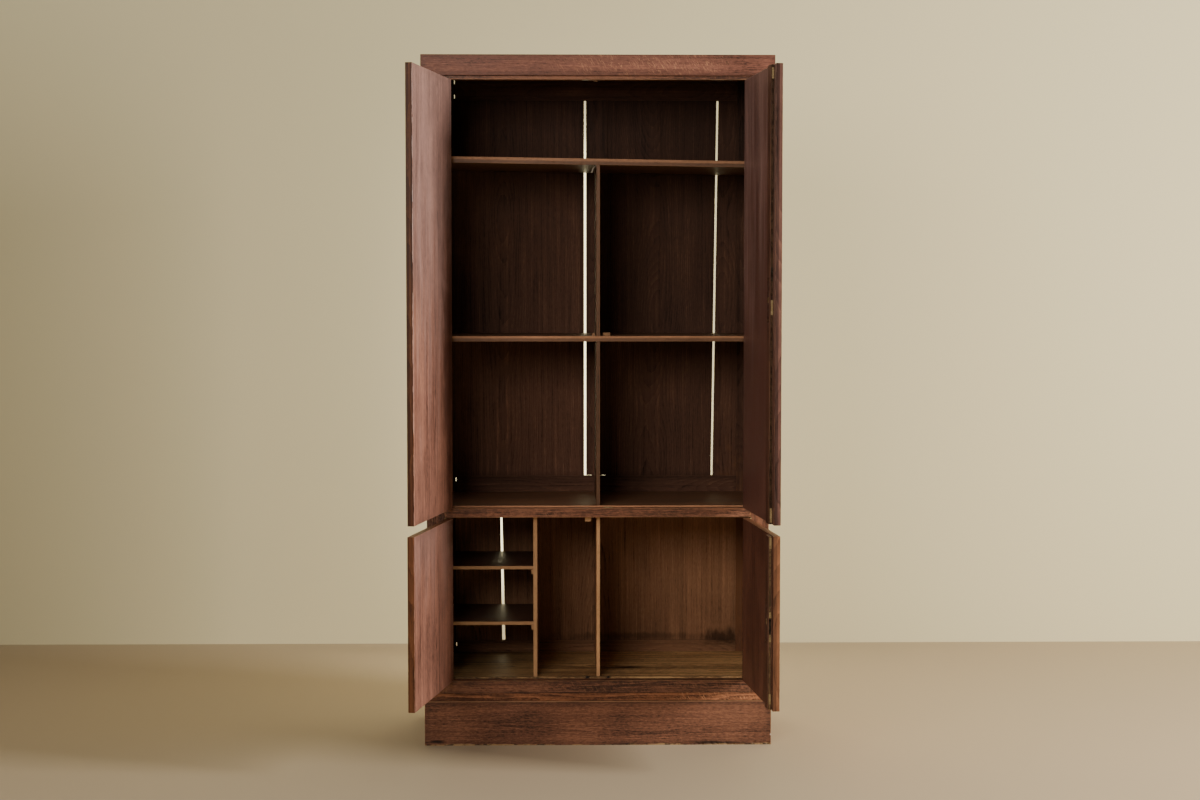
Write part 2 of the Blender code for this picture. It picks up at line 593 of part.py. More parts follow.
def make_door_stop():
    """A block under the middle rail that the lower left door closes against."""
    x = (STOP_X - STOP_WIDTH / 2, STOP_X + STOP_WIDTH / 2)
    top = MIDDLE_RAIL_BASE - GAP
    board("door_stop", x, (DOOR_THICK + STOP_CLEARANCE, RAIL_THICK), (top - STOP_DROP, top), SHELF_OAK)


def main():
    make_bands()
    make_sides()
    make_front_frame()
    make_floors()
    make_shelves()
    make_dividers()
    make_back_frame()
    make_back_boards()
    make_doors()
    make_keep_plate()
    make_door_stop()


main()
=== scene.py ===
"""The finish of a tall marquetry cabinet in oak, which stands with its four doors open.

Every board of the frame is rounded, worn and given its grain. The doors and sides get their marquetry
outside, and the locks, hinges and small fittings get what shows of them. Lengths are in metres, and the
places of things on the doors are those they have with the doors shut.
"""

import json
import math

import bmesh
import bpy
from bpy.props import FloatProperty, FloatVectorProperty, IntProperty, PointerProperty
from mathutils import Matrix, Vector, noise


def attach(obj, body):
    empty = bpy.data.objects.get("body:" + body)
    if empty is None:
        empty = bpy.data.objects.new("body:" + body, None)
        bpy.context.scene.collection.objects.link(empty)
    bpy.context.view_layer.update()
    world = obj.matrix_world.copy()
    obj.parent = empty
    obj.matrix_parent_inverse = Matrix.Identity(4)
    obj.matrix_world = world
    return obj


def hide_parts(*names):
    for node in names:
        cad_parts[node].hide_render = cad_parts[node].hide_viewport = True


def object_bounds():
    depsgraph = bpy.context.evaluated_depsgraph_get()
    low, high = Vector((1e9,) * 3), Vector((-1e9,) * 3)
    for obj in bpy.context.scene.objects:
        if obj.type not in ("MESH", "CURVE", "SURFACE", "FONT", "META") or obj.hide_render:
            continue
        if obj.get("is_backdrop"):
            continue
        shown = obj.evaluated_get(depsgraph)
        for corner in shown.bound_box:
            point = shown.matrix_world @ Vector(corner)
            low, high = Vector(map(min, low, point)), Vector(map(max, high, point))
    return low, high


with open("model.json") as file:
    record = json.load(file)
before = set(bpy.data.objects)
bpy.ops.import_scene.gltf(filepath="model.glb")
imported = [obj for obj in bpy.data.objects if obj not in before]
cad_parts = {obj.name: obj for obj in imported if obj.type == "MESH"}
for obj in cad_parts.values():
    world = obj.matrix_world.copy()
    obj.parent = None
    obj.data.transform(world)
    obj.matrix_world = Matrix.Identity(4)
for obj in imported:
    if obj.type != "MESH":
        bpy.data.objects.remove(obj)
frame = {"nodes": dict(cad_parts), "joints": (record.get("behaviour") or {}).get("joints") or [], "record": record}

bl_info = {
    "name": "Marquetry Cabinet",
    "version": (1, 0, 0),
    "blender": (4, 5, 0),
    "location": "View3D > Sidebar > Cabinet",
    "description": "Finishes the boards, marquetry and fittings of a tall oak cabinet",
    "category": "Object",
}

CAD_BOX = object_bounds()
AXES = {"x": 0, "y": 1, "z": 2}
TINY = 0.00001
FRONT = Vector((0, -1, 0))
REAR = Vector((0, 1, 0))
LEFT = Vector((-1, 0, 0))
RIGHT = Vector((1, 0, 0))
UP = Vector((0, 0, 1))

SIDES_AND_TOP = ["side_left", "side_right", "top_board"]
FRAME_BOARDS = ["stile_left", "stile_right", "top_rail", "middle_rail", "bottom_rail"]
FIGURED_BOARDS = ["cornice_front", "cornice_left", "cornice_right"]
CAP_BOARDS = ["base_cap_front", "base_cap_left", "base_cap_right"]
PLINTH_BOARDS = ["plinth_front", "plinth_left", "plinth_right"]
SHELVES = ["top_shelf", "middle_shelf", "upper_floor"]
UPPER_DIVIDERS = ["divider_upper", "divider_middle"]
SMALL_SHELVES = ["small_shelf_upper", "small_shelf_lower"]
LOWER_DIVIDERS = ["divider_lower_centre", "divider_lower_left"]
UPPER_BACK = [
    "back_stile_left", "back_stile_right", "back_muntin",
    "back_board_upper_left", "back_board_upper_right", "back_board_upper_edge",
]
UPPER_BACK_RAILS = ["back_rail_top", "back_rail_middle"]
LOWER_BACK = ["back_board_lower_left", "back_board_lower_right"]
DOORS = ["door_upper_left", "door_upper_right", "door_lower_left", "door_lower_right"]
LOCK_STRIPS = ["lock_strip_upper", "lock_strip_lower"]

# Which boards have their grain, their width and their thickness along which axes, in that order
LIES = {
    "xzy": [
        "plinth_front", "base_cap_front", "cornice_front", "top_rail", "middle_rail", "bottom_rail",
        "back_rail_top", "back_rail_middle", "back_rail_bottom", "door_stop",
    ],
    "yzx": [
        "plinth_left", "plinth_right", "base_cap_left", "base_cap_right", "cornice_left",
        "cornice_right",
    ],
    "zxy": ["stile_left", "stile_right", *UPPER_BACK, *LOWER_BACK, *DOORS, *LOCK_STRIPS],
    "zyx": ["side_left", "side_right", *UPPER_DIVIDERS, *LOWER_DIVIDERS],
    "xyz": ["top_board", "lower_floor", *SHELVES, *SMALL_SHELVES],
}

# Where the boards of the back are joined, as places along X
SEAMS = {"back_board_upper_right": [0.1996], "back_board_lower_right": [0.1697, 0.2827]}

# How light each board is beside its own material, and each plank of a joined one
PLANKS = {
    "back_board_upper_right": [0.92, 0.82], "back_board_lower_right": [1.0, 1.03, 1.20],
    "back_board_lower_left": [1.30], "back_board_upper_left": [1.13], "back_rail_middle": [1.14],
    "middle_shelf": [1.12],
    "middle_rail": [1.52], "top_rail": [1.30], "divider_upper": [0.94], "divider_middle": [0.78],
    "divider_lower_centre": [1.32], "upper_floor": [1.55],
}
SEAM_WIDTH = 0.0007
SEAM_DEPTH = 0.0005
BACK_MIDDLE = 0.449

# Veneer lifted along the leading edge of the upper left door: the heights of its ends, its width and
# how deep the step is
LIFTED = {"door_upper_left": (0.953, 1.290)}
LIFT_WIDTH = 0.0035
LIFT_DEPTH = 0.0011

# The heights of the cuts along the plinth's chipped foot, and the distance between its points
CHIP_HEIGHTS = (0.0035, 0.007, 0.012)
CHIPPED_STEP = 0.004

# The locking strips' edges are sharper than those of the boards
STRIP_ROUNDING = 0.0005


def colour_prop(label, about, default):
    return FloatVectorProperty(
        name=label, description=about, subtype="COLOR", default=default, min=0, max=1,
    )


def length_prop(label, about, default, lowest, highest):
    return FloatProperty(
        name=label, description=about, subtype="DISTANCE", default=default, min=lowest, max=highest,
    )


def power_prop(label, about, default):
    return FloatProperty(name=label, description=about, subtype="POWER", default=default, min=0)


class CabinetWood(bpy.types.PropertyGroup):
    """Colours and wear of the boards, with light and shade painted into some of the colours."""

    outside: colour_prop(
        "Front frame", "Stained oak of the front frame, the sides and the plinth", (0.166, 0.0645, 0.0350),
    )
    cornice: colour_prop("Cornice", "Quartered oak of the cornice", (0.243, 0.095, 0.062))
    cap: colour_prop("Cap moulding", "Redder oak of the moulding over the plinth", (0.315, 0.121, 0.055))
    # Painted light and shade: the three door-face colours are one oak in lighter and darker copies. The left
    # doors' colour is lighter as painted light, and the two right doors' are darker as painted shade.
    left_doors_lit: colour_prop(
        "Left door faces", "Faded oak on the left doors' inner faces", (0.255, 0.111, 0.077),
    )
    upper_right: colour_prop(
        "Upper right door face", "Darker oak on that door's inner face", (0.168, 0.075, 0.059),
    )
    lower_right: colour_prop(
        "Lower right door face", "Darkest oak, on that door's inner face", (0.137, 0.056, 0.039),
    )
    strips: colour_prop(
        "Locking strips", "Oak of the strips that hold the locks and rods", (0.128, 0.058, 0.041),
    )
    # Painted sheen: this greyish colour stands partly for a haze in the finish and partly for a painted sheen over
    # the upper part of the door faces.
    bloom_and_sheen: colour_prop(
        "Bloom", "Greyish film on the upper part of the upper doors' inner faces", (0.335, 0.208, 0.184),
    )
    inside: colour_prop(
        "Inside", "Dark stained oak of the upper back and the small shelves", (0.120, 0.0562, 0.0347),
    )
    shelves: colour_prop(
        "Shelves", "Oak of the long shelves, the upper floor and the upper dividers", (0.152, 0.076, 0.040),
    )
    shelf_edges: colour_prop(
        "Shelf edges", "Front edges of the long shelves and the upper dividers", (0.268, 0.130, 0.065),
    )
    # Bare oak made lighter still: painted light where the lamps leave these edges in shade, and a painted
    # highlight.
    edges_bare_and_lit: colour_prop(
        "Unstained edges", "Front edges of the small shelves and the lower dividers", (0.490, 0.273, 0.129),
    )
    lower: colour_prop(
        "Lower part", "Paler oak of the lower part's back and dividers", (0.308, 0.153, 0.080),
    )
    # Pale oak, made paler still: painted light on the lower floor.
    floor: colour_prop("Lower floor", "Yellow oak of the lower floor", (0.650, 0.370, 0.158))
    pale: colour_prop("Bare oak", "Oak with its stain worn away", (0.480, 0.250, 0.115))
    rounding: length_prop("Edge rounding", "Width of the softened edges", 0.0008, 0.0002, 0.003)
    wear: length_prop("Edge wear", "How unevenly the outside edges are worn", 0.0005, 0, 0.003)
    inner_wear: length_prop("Inner edge wear", "How unevenly the inside edges are worn", 0.0001, 0, 0.003)
    chips: length_prop("Plinth chips", "Depth of the chips along the plinth's foot", 0.0028, 0, 0.01)
    step: length_prop("Wear step", "Distance between the points of a worn edge", 0.008, 0.002, 0.1)


class CabinetInlay(bpy.types.PropertyGroup):
    """Sizes and woods of the marquetry."""

    margin: length_prop(
        "Margin", "Plain veneer between a panel's edge and the first line", 0.020, 0.005, 0.1,
    )
    line: length_prop("Stringing", "Width of the pale lines", 0.0014, 0.0005, 0.01)
    band: length_prop("Banding", "Width of the banding", 0.009, 0.002, 0.05)
    tile: length_prop("Banding tile", "Length of one piece of the banding", 0.013, 0.003, 0.1)
    field: length_prop("Field margin", "From a panel's edge to its field of diamonds", 0.074, 0.03, 0.2)
    diamond: FloatVectorProperty(
        name="Diamond", description="Width and height of one diamond",
        size=2, subtype="XYZ", unit="LENGTH", default=(0.037, 0.062),
    )
    joint: length_prop("Joint", "Glue line between two pieces", 0.0003, 0, 0.002)
    proud: length_prop("Proud", "How far the old veneers stand above the ground", 0.00025, 0.0001, 0.001)
    seed: IntProperty(name="Seed", description="Picks the tone of each piece", default=7, min=0)
    pale: colour_prop("Pale wood", "Colour of the palest pieces", (0.520, 0.300, 0.130))
    brown: colour_prop("Brown wood", "Colour of the middle pieces", (0.260, 0.110, 0.045))
    dark: colour_prop("Dark wood", "Colour of the darkest pieces", (0.035, 0.016, 0.010))


class CabinetMetal(bpy.types.PropertyGroup):
    """Colours and screw sizes of the fittings."""

    brass: colour_prop("Brass", "Colour of the brass where it is rubbed", (0.420, 0.325, 0.170))
    upper_rods: colour_prop("Upper rods", "Dull brass of the upper door's rods", (0.150, 0.092, 0.058))
    lower_rods: colour_prop("Lower rods", "Rubbed brass of the lower door's rods", (0.300, 0.190, 0.105))
    cases: colour_prop("Lock cases", "Brown lacquer on the lock cases", (0.105, 0.046, 0.032))
    # Painted shade: this dark colour fills the recesses at the locks and the keyholes, where there is only shade.
    iron: colour_prop(
        "Dark iron", "Colour of the recesses at the locks and the keyholes", (0.090, 0.074, 0.056),
    )
    steel: colour_prop("Worn steel", "Colour of the hook", (0.480, 0.420, 0.340))
    screw: length_prop("Screw head", "Radius of a screw's head", 0.0023, 0.001, 0.01)
    screw_rise: length_prop("Screw rise", "How far a screw's head stands out", 0.0003, 0.0001, 0.002)
    pin: length_prop("Pin head", "Radius of a small pin's head", 0.0010, 0.0005, 0.005)


class CabinetStage(bpy.types.PropertyGroup):
    """Camera, light and surroundings."""

    eye: FloatVectorProperty(
        name="Camera place", description="Where the picture is taken from",
        subtype="TRANSLATION", default=(-0.0890, -5.7281, 1.3322),
    )
    pitch: FloatProperty(
        name="Camera pitch", description="How far the camera looks down",
        subtype="ANGLE", default=math.radians(3.2306),
    )
    yaw: FloatProperty(
        name="Camera yaw", description="How far the camera turns to the right",
        subtype="ANGLE", default=math.radians(0.9465),
    )
    lens: FloatProperty(
        name="Lens", description="Focal length of the camera",
        subtype="DISTANCE_CAMERA", default=59.45, min=10,
    )
    wall: FloatProperty(
        name="Wall distance", description="From the cabinet's front to the backdrop",
        subtype="DISTANCE", default=1.66, min=0.6,
    )
    floor_colour: colour_prop("Floor", "Colour of the plain floor", (0.50, 0.39, 0.25))
    wall_colour: colour_prop("Wall", "Colour of the plain backdrop", (0.745, 0.660, 0.395))
    window: power_prop("Window light", "Power of the large light on the right", 435)
    fill: power_prop("Fill light", "Power of the light in front", 90)
    ceiling: power_prop("Ceiling light", "Power of the light overhead", 22)
    behind: power_prop("Wall light", "Power of the light that whitens the wall behind", 18)
    room: FloatProperty(
        name="Room light", description="Strength of the even light from all around",
        subtype="FACTOR", default=0.085, min=0, max=1,
    )


class Tree:
    """Adds nodes to a tree. A value on a node's input is a number or another node's output."""

    def feed(self, socket, value):
        if isinstance(value, bpy.types.NodeSocket):
            self.tree.links.new(value, socket)
        else:
            socket.default_value = value

    def node(self, kind, inputs, **settings):
        made = self.tree.nodes.new(kind)
        for key, value in settings.items():
            setattr(made, key, value)
        for key, value in inputs.items():
            self.feed(made.inputs[key], value)
        return made

    def math(self, operation, a, b=0.0, clamp=False):
        made = self.node("ShaderNodeMath", {0: a, 1: b}, operation=operation, use_clamp=clamp)
        return made.outputs[0]

    def plus(self, a, b, clamp=False):
        return self.math("ADD", a, b, clamp)

    def minus(self, a, b):
        return self.math("SUBTRACT", a, b)

    def times(self, *values):
        result = values[0]
        for value in values[1:]:
            result = self.math("MULTIPLY", result, value)
        return result

    def vector(self, operation, a, b):
        return self.node("ShaderNodeVectorMath", {0: a, 1: b}, operation=operation).outputs[0]

    def scaled(self, vector, factor):
        inputs = {0: vector, "Scale": factor}
        return self.node("ShaderNodeVectorMath", inputs, operation="SCALE").outputs[0]

    def turned(self, place, axis, angle):
        inputs = {"Vector": place, "Axis": axis, "Angle": angle}
        return self.node("ShaderNodeVectorRotate", inputs).outputs[0]

    def combine(self, **parts):
        return self.node("ShaderNodeCombineXYZ", parts).outputs[0]


class Finish(Tree):
    """Builds one material, node by node."""

    def __init__(self, name):
        self.material = bpy.data.materials.new(name)
        self.material.use_nodes = True
        self.tree = self.material.node_tree
        self.shader = self.tree.nodes["Principled BSDF"]

    def attribute(self, name, output="Vector"):
        return self.node("ShaderNodeAttribute", {}, attribute_name=name).outputs[output]

    def object_place(self):
        return self.node("ShaderNodeTexCoord", {}).outputs["Object"]

    def noise(self, place, stretch, detail=3.0, roughness=0.55, distortion=0.0):
        """Noise whose scale is given along each axis, in cycles a metre."""
        inputs = {
            "Vector": self.vector("MULTIPLY", place, stretch), "Scale": 1.0, "Detail": detail,
            "Roughness": roughness, "Distortion": distortion,
        }
        return self.node("ShaderNodeTexNoise", inputs).outputs["Fac"]

    def ramp(self, value, low, high):
        """Nought at low and one at high, with a soft step between them."""
        if low > high:
            return self.minus(1.0, self.ramp(value, high, low))
        inputs = {"Value": value, "From Min": low, "From Max": high}
        made = self.node("ShaderNodeMapRange", inputs, interpolation_type="SMOOTHSTEP")
        return made.outputs["Result"]

    def about_half(self, parts):
        """Half plus the weighted distance of each value from one half."""
        result = 0.5
        for value, weight in parts:
            result = self.plus(result, self.times(self.minus(value, 0.5), weight))
        return result

    def mix(self, factor, first, second, blend="MIX"):
        """A colour between two others. A plain colour is given as three numbers."""
        colours = [c if isinstance(c, bpy.types.NodeSocket) else (*c, 1.0) for c in (first, second)]
        inputs = {0: factor, 6: colours[0], 7: colours[1]}
        return self.node("ShaderNodeMix", inputs, data_type="RGBA", blend_type=blend).outputs[2]

    def split(self, vector):
        return self.node("ShaderNodeSeparateXYZ", {0: vector}).outputs

    def bump(self, height, distance):
        inputs = {"Height": height, "Distance": distance, "Strength": 1.0}
        return self.node("ShaderNodeBump", inputs).outputs["Normal"]

    def edge_distance(self, corner, size):
        """Distance to the board's nearest edge, where two of its faces meet."""
        near = []
        for from_start, whole in zip(corner, size):
            near.append(self.math("MINIMUM", from_start, self.minus(whole, from_start)))
        total = self.plus(self.plus(near[0], near[1]), near[2])
        lowest = self.math("MINIMUM", self.math("MINIMUM", near[0], near[1]), near[2])
        highest = self.math("MAXIMUM", self.math("MAXIMUM", near[0], near[1]), near[2])
        return self.minus(self.minus(total, lowest), highest)

    def finish(self, colour, roughness, normal=None, **settings):
        self.feed(self.shader.inputs["Base Color"], colour)
        self.feed(self.shader.inputs["Roughness"], roughness)
        if normal:
            self.feed(self.shader.inputs["Normal"], normal)
        for label, value in settings.items():
            self.feed(self.shader.inputs[label.replace("_", " ")], value)
        return self.material


def shade(colour, factor):
    return tuple(min(1.0, channel * factor) for channel in colour)


def blend(first, second, factor):
    return tuple(a + (b - a) * factor for a, b in zip(first, second))


# Oak unless a board's own look says otherwise. Streaks, rings, mottle and speckle are how strong each
# figure is, spacing and arch are the rings' width and how much they curve, and flecks are the rays of
# quartered oak, in the part of the board that fleck_span gives. The haze_and_sheen colour, a haze in the
# finish and a painted sheen, lies over the wood where the sheen_span's two values say. The
# fade paints light and shade along the board: how light its two ends are. The
# layers show in its thickness: layers, and painted highlights on the shelf edges.
OAK_LOOK = {
    "streaks": 0.9, "rings": 0.35, "spacing": 0.0052, "arch": 0.05, "mottle": 0.8, "speckle": 0.5,
    "contrast": 1.0, "flecks": 0.0, "fleck_span": None, "gloss": 0.45, "wear": 0.6, "dirt": 0.35,
    "haze_and_sheen": None, "sheen_span": (0.10, 0.75), "scuffs": 0.0, "layers": (), "shine": 0.35, "marks": (),
    "fade": None, "relief": 0.00012,
}
DARKEST = (0.012, 0.005, 0.003)
NICK = (0.008, 0.005, 0.003)
SCUFF = (0.42, 0.30, 0.13)


class Oak(Finish):
    """Oak along the board's own grain. Most methods lay one thing over the wood's colour so far."""

    def __init__(self, name, colour, look):
        super().__init__(name)
        self.colour = colour
        self.pale = bpy.context.scene.cabinet_wood.pale
        self.look = {**OAK_LOOK, **look}
        self.place = self.vector("ADD", self.attribute("grain_place"), self.attribute("grain_shift"))
        self.corner = self.split(self.attribute("board_place"))
        self.size = self.split(self.attribute("board_size"))
        self.edge = self.edge_distance(self.corner, self.size)
        self.ring = self.growth_rings(self.look["spacing"], self.look["arch"])
        self.fine = self.noise(self.place, (11.0, 620.0, 620.0), 3.0, 0.6)
        self.blotch = self.noise(self.place, (3.0, 7.0, 7.0), 5.0, 0.62, 0.7)
        self.speckle = self.noise(self.place, (75.0, 240.0, 240.0), 4.0, 0.7)
        streak = self.noise(self.place, (1.6, 95.0, 95.0), 6.0, 0.68, 0.25)
        self.tone = self.about_half([
            (streak, self.look["streaks"]), (self.ring, -self.look["rings"]),
            (self.blotch, self.look["mottle"]), (self.fine, 0.55), (self.speckle, self.look["speckle"]),
        ])

    def growth_rings(self, spacing, arch):
        """Nought to one across each ring, with the arched figure of a flat-sawn board."""
        middle = self.times(self.size[1], 0.42)
        drift = self.times(self.minus(self.noise(self.place, (1.2, 0.6, 0.6), 1.0), 0.5), 0.12)
        across = self.plus(self.minus(self.corner[1], middle), drift)
        inputs = {"W": self.split(self.place)[0], "Scale": 1.5, "Detail": 1.0}
        swell = self.node("ShaderNodeTexNoise", inputs, noise_dimensions="1D").outputs["Fac"]
        depth = self.plus(self.times(swell, arch), self.corner[2])
        square = self.plus(self.times(across, across), self.times(depth, depth))
        ripple = self.times(self.noise(self.place, (5.0, 45.0, 45.0), 3.0), 0.9)
        phase = self.plus(self.math("DIVIDE", self.math("SQRT", square), spacing), ripple)
        return self.math("FRACT", phase)

    def rays(self, lean_angle, size):
        """The short wavy pale strokes of quartered oak, which lie across the grain."""
        turned = self.turned(self.place, UP, lean_angle)
        strokes = self.noise(turned, (60.0 / size, 360.0 / size, 60.0), 2.0, 0.55, 0.6)
        patch = self.noise(self.place, (16.0, 30.0, 30.0), 2.0, 0.5)
        return self.times(self.ramp(strokes, 0.58, 0.67), self.ramp(patch, 0.32, 0.56))

    def figure(self):
        """The bare wood, from its dark streaks to its pale ones."""
        spread = 0.46 / self.look["contrast"]
        dark = blend(shade(self.colour, 0.30), DARKEST, 0.15)
        light = blend(shade(self.colour, 1.75), self.pale, 0.12)
        wood = self.mix(self.ramp(self.tone, 0.5 - spread, 0.5), dark, self.colour)
        return self.mix(self.ramp(self.tone, 0.5, 0.5 + spread), wood, light)

    # Painted sheen: a greyish haze over the upper part of a door face, partly a haze in the finish and partly
    # painted sheen and painted light.
    def haze_and_sheen(self, wood):
        height = self.math("DIVIDE", self.corner[0], self.size[0])
        cloud = self.noise(self.place, (2.2, 24.0, 24.0), 5.0, 0.62, 0.4)
        amount = self.plus(height, self.times(self.minus(cloud, 0.52), 1.7), clamp=True)
        uneven = self.scaled(self.look["haze_and_sheen"], self.plus(0.40, self.times(self.tone, 1.2)))
        return self.mix(self.ramp(amount, *self.look["sheen_span"]), wood, self.mix(0.62, wood, uneven))

    def flecks(self, wood):
        small = self.rays(math.radians(40), 0.75)
        large = self.rays(math.radians(62), 1.15)
        flecks = self.math("MAXIMUM", self.times(small, 0.7), large)
        if self.look["fleck_span"]:
            start, end = self.look["fleck_span"]
            rise = self.plus(0.12, self.ramp(self.corner[0], start - 0.22, start + 0.10))
            flecks = self.times(flecks, rise, self.ramp(self.corner[0], end + 0.06, end - 0.06))
        light = blend(shade(self.colour, 2.1), self.pale, 0.55)
        return self.mix(self.times(flecks, self.look["flecks"]), wood, light)

    def grime(self, wood):
        """Dirt that gathers towards the board's edges."""
        grime = self.plus(self.ramp(self.edge, 0.028, 0.0), self.minus(self.blotch, 0.5), clamp=True)
        return self.mix(self.times(grime, self.look["dirt"]), wood, shade(self.colour, 0.25))

    # Lighter or darker bands through the board's thickness: layers in the doors' edges, and a painted highlight
    # along the upper part of the shelf edges.
    def layers(self, wood):
        for start, end, factor in self.look["layers"]:
            rise = self.ramp(self.corner[2], start, start + 0.0008)
            fall = self.ramp(self.corner[2], end, end - 0.0008)
            wood = self.mix(self.times(rise, fall), wood, self.scaled(wood, factor))
        return wood

    def scuffs(self, wood):
        """Bare patches and dark nicks along the board's foot."""
        amount = self.look["scuffs"]
        low = self.ramp(self.corner[1], 0.009, 0.0005)
        patch = self.noise(self.place, (14.0, 90.0, 90.0), 5.0, 0.7)
        bare = self.ramp(self.plus(patch, self.times(low, 0.20)), 0.60, 0.76)
        wood = self.mix(self.times(bare, low, amount), wood, blend(self.pale, SCUFF, 0.6))
        nicks = self.noise(self.place, (55.0, 170.0, 170.0), 3.0, 0.6)
        nick = self.ramp(self.plus(nicks, self.times(low, 0.16)), 0.68, 0.74)
        return self.mix(self.times(nick, low, amount), wood, NICK)

    def wear(self, wood):
        """Bare wood along the edges, where the stain is rubbed off."""
        rub = self.noise(self.place, (18.0, 50.0, 50.0), 5.0, 0.65)
        reach = self.times(self.ramp(rub, 0.30, 0.85), 0.0030 * self.look["wear"])
        away = self.math("DIVIDE", self.edge, self.plus(reach, 0.0004))
        worn = self.math("SUBTRACT", 1.0, away, clamp=True)
        return self.mix(self.times(worn, min(1.0, self.look["wear"])), wood, self.pale)

    def marks(self, wood):
        for middle, reach, amount, stain in self.look["marks"]:
            away = self.vector("DIVIDE", self.vector("SUBTRACT", self.object_place(), middle), reach)
            length = self.node("ShaderNodeVectorMath", {0: away}, operation="LENGTH").outputs["Value"]
            ragged = self.noise(self.place, (18.0, 45.0, 45.0), 5.0, 0.65)
            spot = self.ramp(self.about_half([(length, 0.5), (ragged, 0.8)]), 0.75, 0.36)
            wood = self.mix(self.times(spot, amount), wood, stain or shade(self.colour, 0.12))
        return wood

    # Painted light and shade: the board grows lighter or darker from one end to the other, as light and shade
    # would fall on it.
    def fade(self, wood):
        first, last = self.look["fade"]
        along = self.math("DIVIDE", self.corner[0], self.size[0])
        return self.scaled(wood, self.plus(first, self.times(along, last - first)))


def oak(name, colour, **look):
    """Oak with its figure, pores and rays, and with the haze and painted sheen, painted light and shade, dirt,
    wear and marks that its look gives.
    """
    f = Oak(name, colour, look)
    wood = f.figure()
    if f.look["haze_and_sheen"]:
        wood = f.haze_and_sheen(wood)
    pores = f.noise(f.place, (60.0, 1900.0, 1900.0), 2.0, 0.5)
    porous = f.times(f.ramp(pores, 0.54, 0.66), f.plus(0.35, f.ramp(f.ring, 0.45, 0.0)))
    wood = f.mix(f.times(porous, 0.55), wood, shade(colour, 0.22))
    if f.look["flecks"]:
        wood = f.flecks(wood)
    wood = f.layers(f.grime(wood))
    if f.look["scuffs"]:
        wood = f.scuffs(wood)
    wood = f.marks(f.wear(wood))
    wood = f.scaled(wood, f.attribute("plank_tone", "Fac"))
    if f.look["fade"]:
        wood = f.fade(wood)
    relief = f.minus(f.times(f.fine, 0.5), porous)
    rough = f.about_half([(f.blotch, 0.4), (f.speckle, 0.25)])
    rough = f.plus(f.times(f.minus(rough, 0.5), 0.5), f.look["gloss"], clamp=True)
    normal = f.bump(relief, f.look["relief"])
    return f.finish(wood, rough, normal, Specular_IOR_Level=f.look["shine"])


def metal(name, colour, tarnish, gloss=0.38, amount=0.6, metallic=1.0):
    """Old metal: tarnish in patches, fine scratches and a rubbed surface."""
    f = Finish(name)
    place = f.object_place()
    cloud = f.noise(place, (60.0, 60.0, 60.0), 5.0, 0.65, 0.6)
    spots = f.noise(place, (420.0, 420.0, 420.0), 3.0, 0.6)
    scratch = f.noise(place, (260.0, 260.0, 26.0), 3.0, 0.7)
    dull = f.ramp(f.about_half([(cloud, 1.4), (spots, 0.7)]), 0.38, 0.66)
    colours = f.mix(f.times(dull, amount), colour, tarnish)
    rough = f.plus(gloss, f.times(dull, 0.3))
    return f.finish(colours, rough, f.bump(scratch, 0.00008), Metallic=metallic)


def veneer(name, inlay):
    """The marquetry's woods: each piece has its own tone and its own grain."""
    f = Finish(name)
    place = f.attribute("grain_place")
    tone = f.attribute("piece_tone", "Fac")
    streak = f.noise(place, (5.0, 190.0, 190.0), 5.0, 0.62, 0.2)
    fine = f.noise(place, (30.0, 1100.0, 1100.0), 3.0, 0.6)
    cloud = f.noise(place, (12.0, 30.0, 30.0), 3.0, 0.6, 0.5)
    wood = f.mix(f.ramp(tone, 0.0, 0.5), inlay.dark, inlay.brown)
    wood = f.mix(f.ramp(tone, 0.5, 1.0), wood, inlay.pale)
    level = f.about_half([(streak, 0.9), (fine, 0.6), (cloud, 0.7)])
    wood = f.scaled(wood, f.plus(0.55, f.times(level, 0.9)))
    rough = f.plus(0.30, f.times(cloud, 0.22))
    return f.finish(wood, rough, f.bump(fine, 0.00006), Specular_IOR_Level=0.45)


def closing_turn(body):
    """The turn about its hinge that shuts a door, or no turn for the case."""
    for joint in frame["joints"]:
        if joint["type"] == "hinge" and joint["child"] == body:
            pin = Matrix.Translation(Vector(joint["pos_m"]))
            angle = math.radians(joint["range_deg"][0]) * joint["axis"][2]
            return pin @ Matrix.Rotation(angle, 4, "Z") @ pin.inverted()
    return Matrix.Identity(4)


def body_of(node):
    for body, members in frame["record"]["behaviour"]["bodies"].items():
        if node in members:
            return body
    raise ValueError(f"no body holds {node}")


def slot_of(node):
    for entry in frame["record"]["subparts"]:
        if entry["node"] == node:
            return entry["material_slot"]
    raise ValueError(f"no material slot for {node}")


def link(name, data):
    made = bpy.data.objects.new(name, data)
    bpy.context.scene.collection.objects.link(made)
    return made


def place_piece(name, mesh, body, slot):
    piece = link(name, mesh)
    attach(piece, body)
    return piece


def limits(places):
    low = Vector(min(place[axis] for place in places) for axis in range(3))
    high = Vector(max(place[axis] for place in places) for axis in range(3))
    return low, high


def slice_shape(shape, axis, position):
    point = Vector((0, 0, 0))
    point[axis] = position
    normal = Vector((0, 0, 0))
    normal[axis] = 1
    whole = list(shape.verts) + list(shape.edges) + list(shape.faces)
    bmesh.ops.bisect_plane(shape, geom=whole, dist=TINY, plane_co=point, plane_no=normal)


def soften(shape, edges, width, segments=2):
    bmesh.ops.bevel(
        shape, geom=edges, offset=width, offset_type="OFFSET", segments=segments, profile=0.5,
        affect="EDGES", clamp_overlap=True,
    )


def sharp_edges(shape):
    return [edge for edge in shape.edges if edge.calc_face_angle(0) > math.radians(20)]


